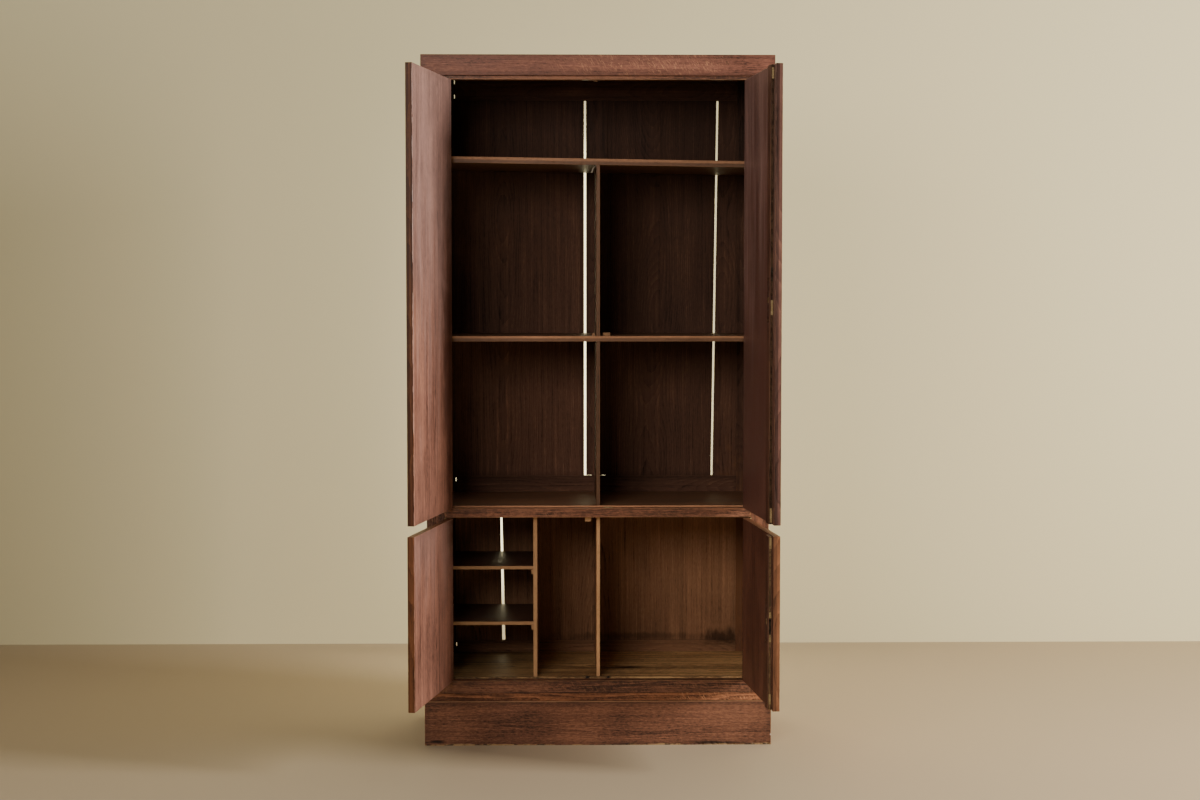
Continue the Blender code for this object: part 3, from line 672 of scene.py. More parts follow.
def solid_copy(node, turn):
    """A CAD node's solid as one welded shape with flat faces, turned as the node is with its door shut."""
    shape = bmesh.new()
    shape.from_mesh(frame["nodes"][node].data)
    bmesh.ops.remove_doubles(shape, verts=shape.verts, dist=TINY)
    bmesh.ops.dissolve_limit(shape, angle_limit=math.radians(0.3), verts=shape.verts, edges=shape.edges)
    bmesh.ops.transform(shape, matrix=turn, verts=shape.verts)
    return shape


def lean(shape):
    """The turn that levels a board which leans a little to one side."""
    widest = max((face for face in shape.faces if face.normal.z > 0.9), key=lambda face: face.calc_area())
    return Matrix.Rotation(-math.atan2(widest.normal.x, widest.normal.z), 4, "Y")


def cut_seams(shape, seams):
    """Narrow grooves where the boards of a wide panel are joined."""
    for seam in seams:
        slice_shape(shape, 0, seam)
        along = [e for e in shape.edges if all(abs(v.co.x - seam) < TINY for v in e.verts)]
        flat = [e for e in along if abs(e.verts[0].co.z - e.verts[1].co.z) > TINY]
        soften(shape, flat, SEAM_WIDTH / 2)
        for vertex in shape.verts:
            if abs(vertex.co.x - seam) < TINY:
                vertex.co.y += math.copysign(SEAM_DEPTH, BACK_MIDDLE - vertex.co.y)


def wear_edges(shape, low, size, rounding, wear, seed):
    """Moves the rounded edges in by an uneven amount, and leaves the flat faces flat."""
    offset = Vector((seed * 3.1, seed * 1.7, seed * 0.9))
    for vertex in shape.verts:
        rub = noise.noise(vertex.co * 30 + offset) + 0.5 * noise.noise(vertex.co * 110 + offset)
        chip = max(0.0, noise.noise(vertex.co * 55 - offset) - 0.42) * 3
        depth = wear * (max(0.0, 0.4 + rub) + chip)
        for axis in range(3):
            near = vertex.co[axis] - low[axis]
            far = size[axis] - near
            if TINY < near < 1.6 * rounding:
                vertex.co[axis] += depth
            elif TINY < far < 1.6 * rounding:
                vertex.co[axis] -= depth


def chip_foot(shape, depth):
    """Breaks small pieces out of the plinth's lower front edge, more of them on the right."""
    reach = CHIP_HEIGHTS[-1] + 0.001
    front = min(vertex.co.y for vertex in shape.verts)
    for vertex in shape.verts:
        if vertex.co.z > reach or vertex.co.y > front + 0.003:
            continue
        more = 0.16 + 0.22 * max(0.0, vertex.co.x)
        broken = max(0.0, noise.noise(vertex.co * 90) + noise.noise(vertex.co * 260) * 0.5 + more - 0.40)
        vertex.co.y += min(1.0, broken * 2.5) * depth * (1 - vertex.co.z / reach)


def lift_veneer(shape, node):
    """A narrow step where the veneer has lifted along a door's leading edge."""
    start, end = LIFTED[node]
    leading = max(vertex.co.x for vertex in shape.verts)
    inner = max(vertex.co.y for vertex in shape.verts)
    for vertex in shape.verts:
        beside = leading - LIFT_WIDTH * 0.9 < vertex.co.x
        if beside and vertex.co.y > inner - 0.002 and start < vertex.co.z < end:
            vertex.co.y -= LIFT_DEPTH * (0.8 + 0.4 * noise.noise(vertex.co * 40))


def store(mesh, name, kind, domain, values):
    mesh.attributes.new(name, kind, domain)
    mesh.attributes[name].data.foreach_set("vector" if kind == "FLOAT_VECTOR" else "value", values)


def tag_board(mesh, places, order, size, shift, tones):
    """Stores what the wood materials read: the place along the grain, in the board and in its plank."""
    lie = [place[axis] for place in places for axis in order]
    sizes = [size[axis] for axis in order] * len(places)
    planks = []
    for face in mesh.polygons:
        middle = sum((places[index] for index in face.vertices), Vector((0, 0, 0))) / len(face.vertices)
        planks.append(tones(middle))
    shifts = [part for plank, _ in planks for part in shift + Vector((1.9, 0.83, 0.4)) * plank]
    store(mesh, "grain_place", "FLOAT_VECTOR", "POINT", lie)
    store(mesh, "board_place", "FLOAT_VECTOR", "POINT", lie)
    store(mesh, "board_size", "FLOAT_VECTOR", "POINT", sizes)
    store(mesh, "grain_shift", "FLOAT_VECTOR", "FACE", shifts)
    store(mesh, "plank_tone", "FLOAT", "FACE", [factor for _, factor in planks])


def plank_tones(node, low):
    """Which plank a place in a board belongs to, and how light that plank is."""
    seams = SEAMS.get(node, [])
    factors = PLANKS.get(node, [1.0])

    def tones(place):
        plank = sum(place.x + low.x > seam for seam in seams)
        return plank, factors[plank]

    return tones


def lie_of(node):
    """The axes of a board's grain, width and thickness, as numbers."""
    lie = next(lie for lie, nodes in LIES.items() if node in nodes)
    return [AXES[letter] for letter in lie]


def cut_board(shape, node, along, low, high, step):
    """Cuts across a board for its wear, and where its chips, lifted veneer and seams are."""
    run = (high - low)[along]
    cuts = int(run / step)
    for index in range(1, cuts):
        slice_shape(shape, along, low[along] + run * index / cuts)
    if node == "plinth_front":
        for height in CHIP_HEIGHTS:
            slice_shape(shape, AXES["z"], height)
    if node in LIFTED:
        slice_shape(shape, AXES["x"], high.x - LIFT_WIDTH)
    cut_seams(shape, SEAMS.get(node, []))


def dress(node, materials, seed, wear, pick=None, rounding=None, step=None):
    """Replaces a CAD board by a rounded, worn copy that knows its own grain.

    The first material covers the board, and pick gives the place of another one in the list from the
    direction that a face looks in.
    """
    wood = bpy.context.scene.cabinet_wood
    rounding = rounding or wood.rounding
    turn = closing_turn(body_of(node))
    shape = solid_copy(node, turn)
    if node == "top_shelf":
        level = lean(shape)
        bmesh.ops.transform(shape, matrix=level, verts=shape.verts)
        turn = level @ turn
    low, high = limits([vertex.co for vertex in shape.verts])
    size = high - low
    order = lie_of(node)
    cut_board(shape, node, order[0], low, high, step or wood.step)
    soften(shape, sharp_edges(shape), rounding)
    places = [vertex.co - low for vertex in shape.verts]
    wear_edges(shape, low, size, rounding, wear, seed)
    if node == "plinth_front":
        chip_foot(shape, wood.chips)
    if node in LIFTED:
        lift_veneer(shape, node)
    shape.normal_update()
    looks = [pick(face.normal) if pick else 0 for face in shape.faces]
    bmesh.ops.transform(shape, matrix=turn.inverted(), verts=shape.verts)
    mesh = bpy.data.meshes.new(f"{node}_wood")
    shape.to_mesh(mesh)
    shape.free()
    for material in materials:
        mesh.materials.append(material)
    mesh.polygons.foreach_set("material_index", looks)
    shift = Vector((seed * 1.37 % 7, seed * 0.71 % 5, seed * 0.53 % 3))
    tag_board(mesh, places, order, size, shift, plank_tones(node, low))
    piece = place_piece(f"{node}_wood", mesh, body_of(node), slot_of(node))
    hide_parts(node)
    return piece


def front_is_second(normal):
    return 1 if normal.y < -0.8 else 0


def door_faces(normal):
    """Nought for the inner face, one for the outer face, two for the edges."""
    if normal.y > 0.6:
        return 0
    return 1 if normal.y < -0.6 else 2


class Fittings:
    """Small solids of one material that ride on one body, gathered into one piece."""

    def __init__(self, name, body, slot, material):
        self.name = name
        self.body = body
        self.slot = slot
        self.material = material
        self.shape = bmesh.new()

    def take(self, part):
        mesh = bpy.data.meshes.new("part")
        part.to_mesh(mesh)
        part.free()
        self.shape.from_mesh(mesh)
        bpy.data.meshes.remove(mesh)

    def block(self, low, high, rounding=0.0003, turn=Matrix.Identity(4), slope=0.0):
        """A rounded block. The slope is how far its top falls towards its left."""
        part = bmesh.new()
        bmesh.ops.create_cube(part, size=1)
        low, high = Vector(low), Vector(high)
        bmesh.ops.transform(part, matrix=Matrix.Diagonal((*(high - low), 1)), verts=part.verts)
        for vertex in part.verts:
            if vertex.co.z > 0 and vertex.co.x < 0:
                vertex.co.z -= slope
        soften(part, list(part.edges), rounding)
        place = Matrix.Translation((low + high) / 2) @ turn
        bmesh.ops.transform(part, matrix=place, verts=part.verts)
        self.take(part)

    def plate(self, middle, facing, outline, thickness, rounding=0.0002):
        """A flat plate with the given outline, whose back lies at the middle point."""
        part = bmesh.new()
        verts = [part.verts.new((x, y, 0)) for x, y in outline]
        face = part.faces.new(verts)
        raised = bmesh.ops.extrude_face_region(part, geom=[face])["geom"]
        top = [item for item in raised if isinstance(item, bmesh.types.BMVert)]
        bmesh.ops.translate(part, verts=top, vec=(0, 0, thickness))
        bmesh.ops.recalc_face_normals(part, faces=part.faces)
        rim = [e for e in part.edges if all(v.co.z > thickness / 2 for v in e.verts)]
        soften(part, rim, rounding)
        turn = facing.to_track_quat("Z", "Y").to_matrix().to_4x4()
        bmesh.ops.transform(part, matrix=Matrix.Translation(middle) @ turn, verts=part.verts)
        self.take(part)

    def tube(self, points, radius, sides=10):
        """A round wire through the given points, with closed ends."""
        part = bmesh.new()
        rings = []
        for index, point in enumerate(points):
            before = Vector(points[max(0, index - 1)])
            after = Vector(points[min(len(points) - 1, index + 1)])
            turn = (after - before).to_track_quat("Z", "Y").to_matrix()
            ring = []
            for side in range(sides):
                angle = 2 * math.pi * side / sides
                spoke = Vector((math.cos(angle), math.sin(angle), 0)) * radius
                ring.append(part.verts.new(Vector(point) + turn @ spoke))
            rings.append(ring)
        for first, second in zip(rings, rings[1:]):
            for side in range(sides):
                beside = (side + 1) % sides
                part.faces.new((first[side], first[beside], second[beside], second[side]))
        part.faces.new(rings[0])
        part.faces.new(rings[-1])
        bmesh.ops.recalc_face_normals(part, faces=part.faces)
        self.take(part)

    def finish(self):
        turn = closing_turn(self.body).inverted()
        bmesh.ops.transform(self.shape, matrix=turn, verts=self.shape.verts)
        mesh = bpy.data.meshes.new(self.name)
        self.shape.to_mesh(mesh)
        self.shape.free()
        mesh.materials.append(self.material)
        return place_piece(self.name, mesh, self.body, self.slot)


class Net(Tree):
    """Builds one Geometry Nodes tree with named inputs, and turns its result into plain meshes."""

    def __init__(self, name, inputs):
        self.tree = bpy.data.node_groups.new(name, "GeometryNodeTree")
        self.tree.is_modifier = True
        face = self.tree.interface
        face.new_socket("Geometry", in_out="INPUT", socket_type="NodeSocketGeometry")
        for label, (kind, value) in inputs.items():
            socket = face.new_socket(label, in_out="INPUT", socket_type=f"NodeSocket{kind}")
            if value is not None:
                socket.default_value = value
        face.new_socket("Geometry", in_out="OUTPUT", socket_type="NodeSocketGeometry")
        self.given = self.tree.nodes.new("NodeGroupInput").outputs
        self.taken = self.tree.nodes.new("NodeGroupOutput").inputs

    def named(self, name, kind="FLOAT"):
        made = self.node("GeometryNodeInputNamedAttribute", {"Name": name}, data_type=kind)
        return next(socket for socket in made.outputs if socket.enabled and socket.name == "Attribute")

    def store(self, geometry, name, value, kind="FLOAT", domain="POINT"):
        inputs = {"Geometry": geometry, "Name": name, "Value": value}
        made = self.node("GeometryNodeStoreNamedAttribute", inputs, data_type=kind, domain=domain)
        return made.outputs["Geometry"]

    def chance(self, highest):
        """A random number from nought to the highest for each point, by the tree's seed."""
        inputs = {"Min": 0.0, "Max": highest, "Seed": self.given["Seed"]}
        dice = self.node("FunctionNodeRandomValue", inputs, data_type="FLOAT")
        return next(socket for socket in dice.outputs if socket.enabled)

    def moved(self, geometry, shift):
        inputs = {"Geometry": geometry, "Translation": shift}
        return self.node("GeometryNodeTransform", inputs).outputs[0]

    def result(self, geometry):
        real = self.node("GeometryNodeRealizeInstances", {"Geometry": geometry}).outputs["Geometry"]
        inputs = {"Geometry": real, "Material": self.given["Material"]}
        last = self.node("GeometryNodeSetMaterial", inputs)
        self.tree.links.new(last.outputs["Geometry"], self.taken["Geometry"])

    def run(self, name, points, attributes, settings):
        """Runs the tree on loose points that carry attributes, and gives back a plain mesh."""
        source = bpy.data.meshes.new(f"{name}_points")
        source.from_pydata(points, [], [])
        for label, (kind, values) in attributes.items():
            flat = [part for value in values for part in value] if kind == "FLOAT_VECTOR" else values
            store(source, label, kind, "POINT", flat)
        holder = link(f"{name}_points", source)
        modifier = holder.modifiers.new(name, "NODES")
        modifier.node_group = self.tree
        for item in self.tree.interface.items_tree:
            if item.in_out == "INPUT" and item.name in settings:
                modifier[item.identifier] = settings[item.name]
        graph = bpy.context.evaluated_depsgraph_get()
        mesh = bpy.data.meshes.new_from_object(holder.evaluated_get(graph), depsgraph=graph)
        mesh.name = name
        holder.modifiers.clear()
        bpy.data.objects.remove(holder)
        return mesh


def tile_net():
    """Lays one thin rectangle or diamond on each point, with its own size, tone and grain."""
    net = Net("lay_tiles", {
        "Joint": ("Float", 0.0003), "Thickness": ("Float", 0.00025), "Tone spread": ("Float", 0.2),
        "Seed": ("Int", 0), "Material": ("Material", None),
    })
    corners = {"Size X": 1.0, "Size Y": 1.0, "Vertices X": 2, "Vertices Y": 2}
    square = net.node("GeometryNodeMeshGrid", corners)
    diamond = net.node("GeometryNodeMeshCircle", {"Vertices": 4, "Radius": 0.5}, fill_type="NGON")
    solids = []
    for face in (square, diamond):
        inputs = {"Mesh": face.outputs["Mesh"], "Offset Scale": 1.0, "Individual": False}
        raised = net.node("GeometryNodeExtrudeMesh", inputs, mode="FACES")
        solids.append(raised.outputs["Mesh"])
    kinds = net.node("GeometryNodeGeometryToInstance", {})
    for solid in reversed(solids):
        net.tree.links.new(solid, kinds.inputs["Geometry"])
    joint = net.given["Joint"]
    flat = net.vector("SUBTRACT", net.named("tile_size", "FLOAT_VECTOR"), net.combine(X=joint, Y=joint))
    laid = net.node("GeometryNodeInstanceOnPoints", {
        "Points": net.given["Geometry"], "Instance": kinds.outputs[0], "Pick Instance": True,
        "Instance Index": net.named("tile_kind", "INT"),
        "Scale": net.vector("ADD", flat, net.combine(Z=net.given["Thickness"])),
    })
    chance = net.chance(1.0)
    away = net.times(net.minus(chance, 0.5), net.given["Tone spread"])
    geometry = laid.outputs[0]
    for name, value in (
        ("piece_tone", net.plus(away, net.named("tile_tone"))),
        ("piece_chance", chance),
        ("piece_grain", net.named("tile_grain")),
    ):
        geometry = net.store(geometry, name, value, "FLOAT", "INSTANCE")
    real = net.node("GeometryNodeRealizeInstances", {"Geometry": geometry}).outputs["Geometry"]
    place = net.node("GeometryNodeInputPosition", {}).outputs[0]
    turned = net.turned(place, UP, net.named("piece_grain"))
    shift = net.scaled((3.0, 5.0, 7.0), net.named("piece_chance"))
    net.result(net.store(real, "grain_place", net.vector("ADD", turned, shift), "FLOAT_VECTOR"))
    return net


def screw_net():
    """Sets one slotted head on each point, facing the way that the point's attribute says."""
    net = Net("set_screws", {
        "Radius": ("Float", 0.0023), "Rise": ("Float", 0.0003), "Sunk": ("Float", 0.0004),
        "Slot": ("Float", 0.18), "Seed": ("Int", 0), "Material": ("Material", None),
    })
    radius, rise, sunk = (net.given[label] for label in ("Radius", "Rise", "Sunk"))
    height = net.plus(rise, sunk)
    head = net.node("GeometryNodeMeshCylinder", {"Vertices": 20, "Radius": radius, "Depth": height})
    slot = net.combine(X=net.times(radius, 4.0), Y=net.times(radius, net.given["Slot"]), Z=height)
    cutter = net.node("GeometryNodeMeshCube", {"Size": slot}).outputs["Mesh"]
    cutter = net.moved(cutter, net.combine(Z=net.times(height, 0.6)))
    cut = net.node("GeometryNodeMeshBoolean", {"Mesh 1": head.outputs["Mesh"], "Mesh 2": cutter})
    raised = net.moved(cut.outputs["Mesh"], net.combine(Z=net.times(net.minus(rise, sunk), 0.5)))
    inputs = {"Vector": net.named("facing", "FLOAT_VECTOR")}
    face = net.node("FunctionNodeAlignRotationToVector", inputs, axis="Z")
    spin = net.node("FunctionNodeAxisAngleToRotation", {"Axis": UP, "Angle": net.chance(math.pi)})
    inputs = {"Rotation": face.outputs[0], "Rotate By": spin.outputs[0]}
    turned = net.node("FunctionNodeRotateRotation", inputs, rotation_space="LOCAL")
    laid = net.node("GeometryNodeInstanceOnPoints", {
        "Points": net.given["Geometry"], "Instance": raised, "Rotation": turned.outputs[0],
    })
    net.result(laid.outputs[0])
    return net


def set_screws(net, name, body, slot, places, radius, rise, material, seed):
    """Screws or pins at the given places, each a point and the direction that it faces."""
    attributes = {"facing": ("FLOAT_VECTOR", [facing for _, facing in places])}
    settings = {"Radius": radius, "Rise": rise, "Seed": seed, "Material": material}
    mesh = net.run(name, [point for point, _ in places], attributes, settings)
    mesh.transform(closing_turn(body).inverted())
    return place_piece(name, mesh, body, slot)


class Tiles:
    """The points of one panel of marquetry, measured from the panel's lower left corner."""

    def __init__(self, width, height):
        self.width = width
        self.height = height
        self.pieces = []

    def add(self, x, y, size, tone, grain=0.0, kind=0):
        self.pieces.append(((x, y, 0), (*size, 0), tone, grain, kind))

    def border(self, inset, width, length, tones):
        """A rectangular band of pieces whose tones alternate, with square pieces at its corners."""
        right = self.width - inset
        top = self.height - inset
        run_x = self.width - 2 * (inset + width)
        run_y = self.height - 2 * (inset + width)
        for run, upright in ((run_x, False), (run_y, True)):
            count = max(1, 2 * round(run / length / 2) + 1) if length else 1
            piece = run / count
            for index in range(count):
                along = inset + width + piece * (index + 0.5)
                tone = tones[index % len(tones)]
                for across in (inset + width / 2, (right if upright else top) - width / 2):
                    x, y = (across, along) if upright else (along, across)
                    size = (width, piece) if upright else (piece, width)
                    grain = 0.0 if upright == bool(length) else math.pi / 2
                    self.add(x, y, size, tone, grain=grain)
        for x in (inset + width / 2, right - width / 2):
            for y in (inset + width / 2, top - width / 2):
                self.add(x, y, (width, width), tones[-1])

    def diamonds(self, inset, size, tones):
        """A field of upright diamonds of two woods, each between four of the other."""
        columns = max(1, round((self.width - 2 * inset) / size[0]))
        rows = max(1, round((self.height - 2 * inset) / size[1]))
        pitch = ((self.width - 2 * inset) / columns, (self.height - 2 * inset) / rows)
        for family in (0, 1):
            for column in range(columns - family):
                for row in range(rows - family):
                    x = inset + pitch[0] * (column + 0.5 + family / 2)
                    y = inset + pitch[1] * (row + 0.5 + family / 2)
                    grain = math.radians(58 if (column + row) % 2 else 122)
                    self.add(x, y, pitch, tones[family], grain=grain, kind=1)

    def lay(self, net, name, body, slot, place, inlay, material):
        """Makes the panel's mesh. The place is the turn from the panel to the shut door or the side."""
        points, sizes, tones, grains, kinds = zip(*self.pieces)
        attributes = {
            "tile_size": ("FLOAT_VECTOR", sizes), "tile_tone": ("FLOAT", tones),
            "tile_grain": ("FLOAT", grains), "tile_kind": ("INT", kinds),
        }
        settings = {
            "Joint": inlay.joint, "Thickness": inlay.proud, "Tone spread": 0.26, "Seed": inlay.seed,
            "Material": material,
        }
        mesh = net.run(name, points, attributes, settings)
        mesh.transform(closing_turn(body).inverted() @ place)
        return place_piece(name, mesh, body, slot)


def panel_place(corner, across, outward):
    """Stands a flat panel upright, by its lower left corner, its width's direction and its outer side."""
    turn = Matrix((across, UP, outward)).transposed().to_4x4()
    return Matrix.Translation(corner) @ turn


# The tones of the marquetry's pieces, from dark at nought to pale at one
LINE_TONES = [0.95]
BAND_TONES = [0.12, 0.82]
DIAMOND_TONES = [0.42, 0.80]
LINE_TO_FIELD = 0.006


def lay_panel(net, name, body, slot, corner, across, outward, size, inlay, material):
    """Stringing, a chequered band, stringing twice more and a field of diamonds, from the edge inwards."""
    tiles = Tiles(*size)
    band = inlay.margin + inlay.line
    tiles.border(inlay.margin, inlay.line, None, LINE_TONES)
    tiles.border(band, inlay.band, inlay.tile, BAND_TONES)
    tiles.border(band + inlay.band, inlay.line, None, LINE_TONES)
    tiles.border(inlay.field - LINE_TO_FIELD, inlay.line, None, LINE_TONES)
    tiles.diamonds(inlay.field, inlay.diamond, DIAMOND_TONES)
    tiles.lay(net, name, body, slot, panel_place(corner, across, outward), inlay, material)


def door_box(door):
    """The lowest and highest corner of a door with the door shut, or of a side."""
    turn = closing_turn(body_of(door))
    return limits([turn @ vertex.co for vertex in frame["nodes"][door].data.vertices])


def mark(middle, reach, amount=1.0, stain=None):
    """A ragged spot: its middle, how far it reaches along each axis, how strong it is and its colour."""
    return middle, reach, amount, stain


# Painted shade in the notches of the lower floor's front edge
NOTCH_SHADE = (0.012, 0.006, 0.004)
MARKS = {
    "frame": [mark((0.0, 0.0, 0.1530), (0.70, 0.02, 0.0024))],
    "cap": [
        mark((-0.275, -0.005, 0.143), (0.05, 0.03, 0.006), 0.7),
        # Painted shadow: a dark line along the cap's foot, in the gap over the plinth.
        mark((0.0, -0.008, 0.1303), (0.90, 0.05, 0.0024)),
    ],
    "plinth": [
        mark((0.0, -0.011, 0.1288), (0.90, 0.05, 0.0020), 0.6, (0.42, 0.22, 0.10)),
        mark((-0.470, -0.010, 0.012), (0.028, 0.05, 0.006)),
        mark((0.345, -0.010, 0.007), (0.10, 0.05, 0.007), 0.9),
        mark((0.080, -0.010, 0.003), (0.05, 0.05, 0.004), 0.7),
        mark((0.505, -0.010, 0.030), (0.004, 0.010, 0.004), 0.9, (0.7, 0.6, 0.5)),
    ],
    "upper_back": [mark((0.430, 0.440, 0.420), (0.100, 0.10, 0.450), 0.8, (0.200, 0.085, 0.038))],
    "lower_back": [
        mark((0.400, 0.440, 0.238), (0.085, 0.10, 0.035), 0.8),
        mark((0.120, 0.440, 0.243), (0.300, 0.10, 0.014), 0.45),
    ],
    "lower_rail": [mark((0.400, 0.440, 0.238), (0.085, 0.10, 0.035), 0.8)],
    "lower_floor": [
        mark((0.085, 0.175, 0.1935), (0.100, 0.032, 0.02), 1.0, (0.03, 0.014, 0.006)),
        # Painted shade in the two notches.
        mark((-0.031, 0.042, 0.1880), (0.0130, 0.009, 0.030), 1.0, NOTCH_SHADE),
        mark((0.031, 0.042, 0.1880), (0.0130, 0.009, 0.030), 1.0, NOTCH_SHADE),
        mark((0.380, 0.038, 0.1935), (0.030, 0.008, 0.02), 0.6, (0.75, 0.50, 0.25)),
    ],
    "door_upper_left": [
        mark((-0.497, -0.309, 1.032), (0.03, 0.08, 0.035), 0.35, (0.16, 0.055, 0.045)),
        # Painted shadow: the right door's shadow, dark along the hinge side of the upper left door.
        mark((-0.450, -0.040, 1.130), (0.080, 0.125, 0.600), 0.75, (0.085, 0.030, 0.018)),
        mark((-0.5200, -0.4335, 0.7480), (0.003, 0.004, 0.004), 1.0, (0.7, 0.55, 0.42)),
    ],
    "door_lower_left": [mark((-0.5200, -0.4335, 0.5537), (0.004, 0.004, 0.003), 1.0, (0.7, 0.62, 0.55))],
}


class CABINET_OT_outside(bpy.types.Operator):
    """Finishes the front frame, cornice, cap moulding, plinth, sides and top"""

    bl_idname = "cabinet.outside"
    bl_label = "Outside boards"

    def execute(self, context):
        wood = context.scene.cabinet_wood
        side_oak = oak("side_oak", shade(wood.outside, 0.9), arch=0.12, rings=0.6, spacing=0.006)
        frame_oak = oak(
            "frame_oak", wood.outside, flecks=0.35, spacing=0.0036, arch=0.02, contrast=2.2,
            streaks=1.2, speckle=1.2, marks=MARKS["frame"],
        )
        # The cornice is darker towards its left end: painted shade.
        cornice_oak = oak(
            "cornice_oak", wood.cornice, flecks=1.0, fleck_span=(0.50, 0.86), rings=0.2,
            spacing=0.003, arch=0.01, mottle=0.7, gloss=0.42, wear=0.3, streaks=0.9, shine=0.25,
            contrast=1.3, speckle=0.9, fade=(0.80, 1.00),
        )
        cap_oak = oak(
            "cap_oak", wood.cap, flecks=1.0, fleck_span=(0.74, 0.97), wear=0.3, shine=0.15,
            gloss=0.6, contrast=1.7, streaks=1.2, speckle=0.9, marks=MARKS["cap"],
        )
        # The plinth is lighter towards its left end and darker towards its right end: painted light and shade.
        plinth_oak = oak(
            "plinth_oak", wood.outside, flecks=0.10, speckle=1.3, mottle=0.85, fade=(1.19, 0.91),
            rings=0.25, spacing=0.004, arch=0.03, wear=0.7, scuffs=1.0, gloss=0.5, contrast=1.5,
            marks=MARKS["plinth"],
        )
        groups = (
            (SIDES_AND_TOP, side_oak), (FRAME_BOARDS, frame_oak), (FIGURED_BOARDS, cornice_oak),
            (CAP_BOARDS, cap_oak), (PLINTH_BOARDS, plinth_oak),
        )
        seed = 0
        for nodes, material in groups:
            for node in nodes:
                seed += 1
                step = CHIPPED_STEP if node == "plinth_front" else None
                dress(node, [material], seed, wood.wear, step=step)
        return {"FINISHED"}


class CABINET_OT_inside(bpy.types.Operator):
    """Finishes the floors, shelves, dividers and back"""

    bl_idname = "cabinet.inside"
    bl_label = "Inside boards"

    def execute(self, context):
        wood = context.scene.cabinet_wood
        board = {"arch": 0.12, "rings": 0.26, "streaks": 1.1, "wear": 0.25, "gloss": 0.6, "shine": 0.12}
        edge = {"wear": 0.6, "dirt": 0.0, "rings": 0.08, "spacing": 0.003, "arch": 0.01}
        shelf = oak("shelf_oak", wood.shelves, arch=0.04, wear=0.3)
        # The shelf edges' lighter upper band is a painted highlight. Their lower band is darker.
        shelf_edge = oak(
            "shelf_edge_oak", wood.shelf_edges, contrast=1.3, mottle=0.5,
            layers=[(0.0108, 0.0190, 1.55), (-0.001, 0.0090, 0.66)], **edge,
        )
        # The unstained edges' colour carries painted light and a painted highlight.
        bare_lit_edge = oak(
            "bare_edge_oak", wood.edges_bare_and_lit, mottle=0.6, gloss=0.55, **{**edge, "wear": 0.4},
        )
        small_shelf = oak("small_shelf_oak", shade(wood.inside, 0.9), wear=0.2, gloss=0.5)
        # The upper back darkens towards its top: painted shade under the top board.
        upper_back = oak(
            "upper_back_oak", wood.inside, marks=MARKS["upper_back"], fade=(1.27, 0.60), **board,
        )
        upper_rail = oak("upper_rail_oak", wood.inside, **board)
        # The lower back is lighter towards its top: painted light.
        lower_back = oak(
            "lower_back_oak", wood.lower, marks=MARKS["lower_back"], fade=(0.86, 1.08), **board,
        )
        lower_rail = oak("lower_rail_oak", wood.lower, marks=MARKS["lower_rail"], **board)
        lower_divider = oak("lower_divider_oak", wood.lower, **board)
        # The lower floor is darker towards its left end: painted shadow of the small shelves.
        lower_floor = oak(
            "lower_floor_oak", wood.floor, arch=0.06, rings=0.35, wear=0.7, gloss=0.5,
            streaks=1.3, speckle=1.0, contrast=1.9, fade=(0.46, 1.24), marks=MARKS["lower_floor"],
        )
        groups = (
            (SHELVES, [shelf, shelf_edge], front_is_second),
            (UPPER_DIVIDERS, [shelf, shelf_edge], front_is_second),
            (SMALL_SHELVES, [small_shelf, bare_lit_edge], front_is_second),
            (LOWER_DIVIDERS, [lower_divider, bare_lit_edge], front_is_second),
            (UPPER_BACK, [upper_back], None),
            (UPPER_BACK_RAILS, [upper_rail], None),
            (LOWER_BACK, [lower_back], None),
            (["back_rail_bottom"], [lower_rail], None),
            (["lower_floor"], [lower_floor], None),
            (["door_stop"], [bare_lit_edge], None),
        )
        seed = 30
        for nodes, materials, pick in groups:
            for node in nodes:
                seed += 1
                dress(node, materials, seed, wood.inner_wear, pick)
        return {"FINISHED"}


# The colour of each door's edges, and the layers seen in them: where each starts and ends through the
# door's thickness, and how light it is
DOOR_EDGES = {
    "door_upper_left": ((0.116, 0.039, 0.016), [(0.0, 0.009, 0.55), (0.0150, 0.0180, 0.45)]),
    "door_lower_left": ((0.170, 0.060, 0.025), [(0.0, 0.005, 0.70)]),
    "door_upper_right": ((0.145, 0.066, 0.050), [(0.0085, 0.0200, 0.40), (-0.001, 0.0020, 0.6)]),
    "door_lower_right": ((0.205, 0.083, 0.039), [(0.0085, 0.0200, 0.70), (0.0100, 0.0115, 0.6)]),
}


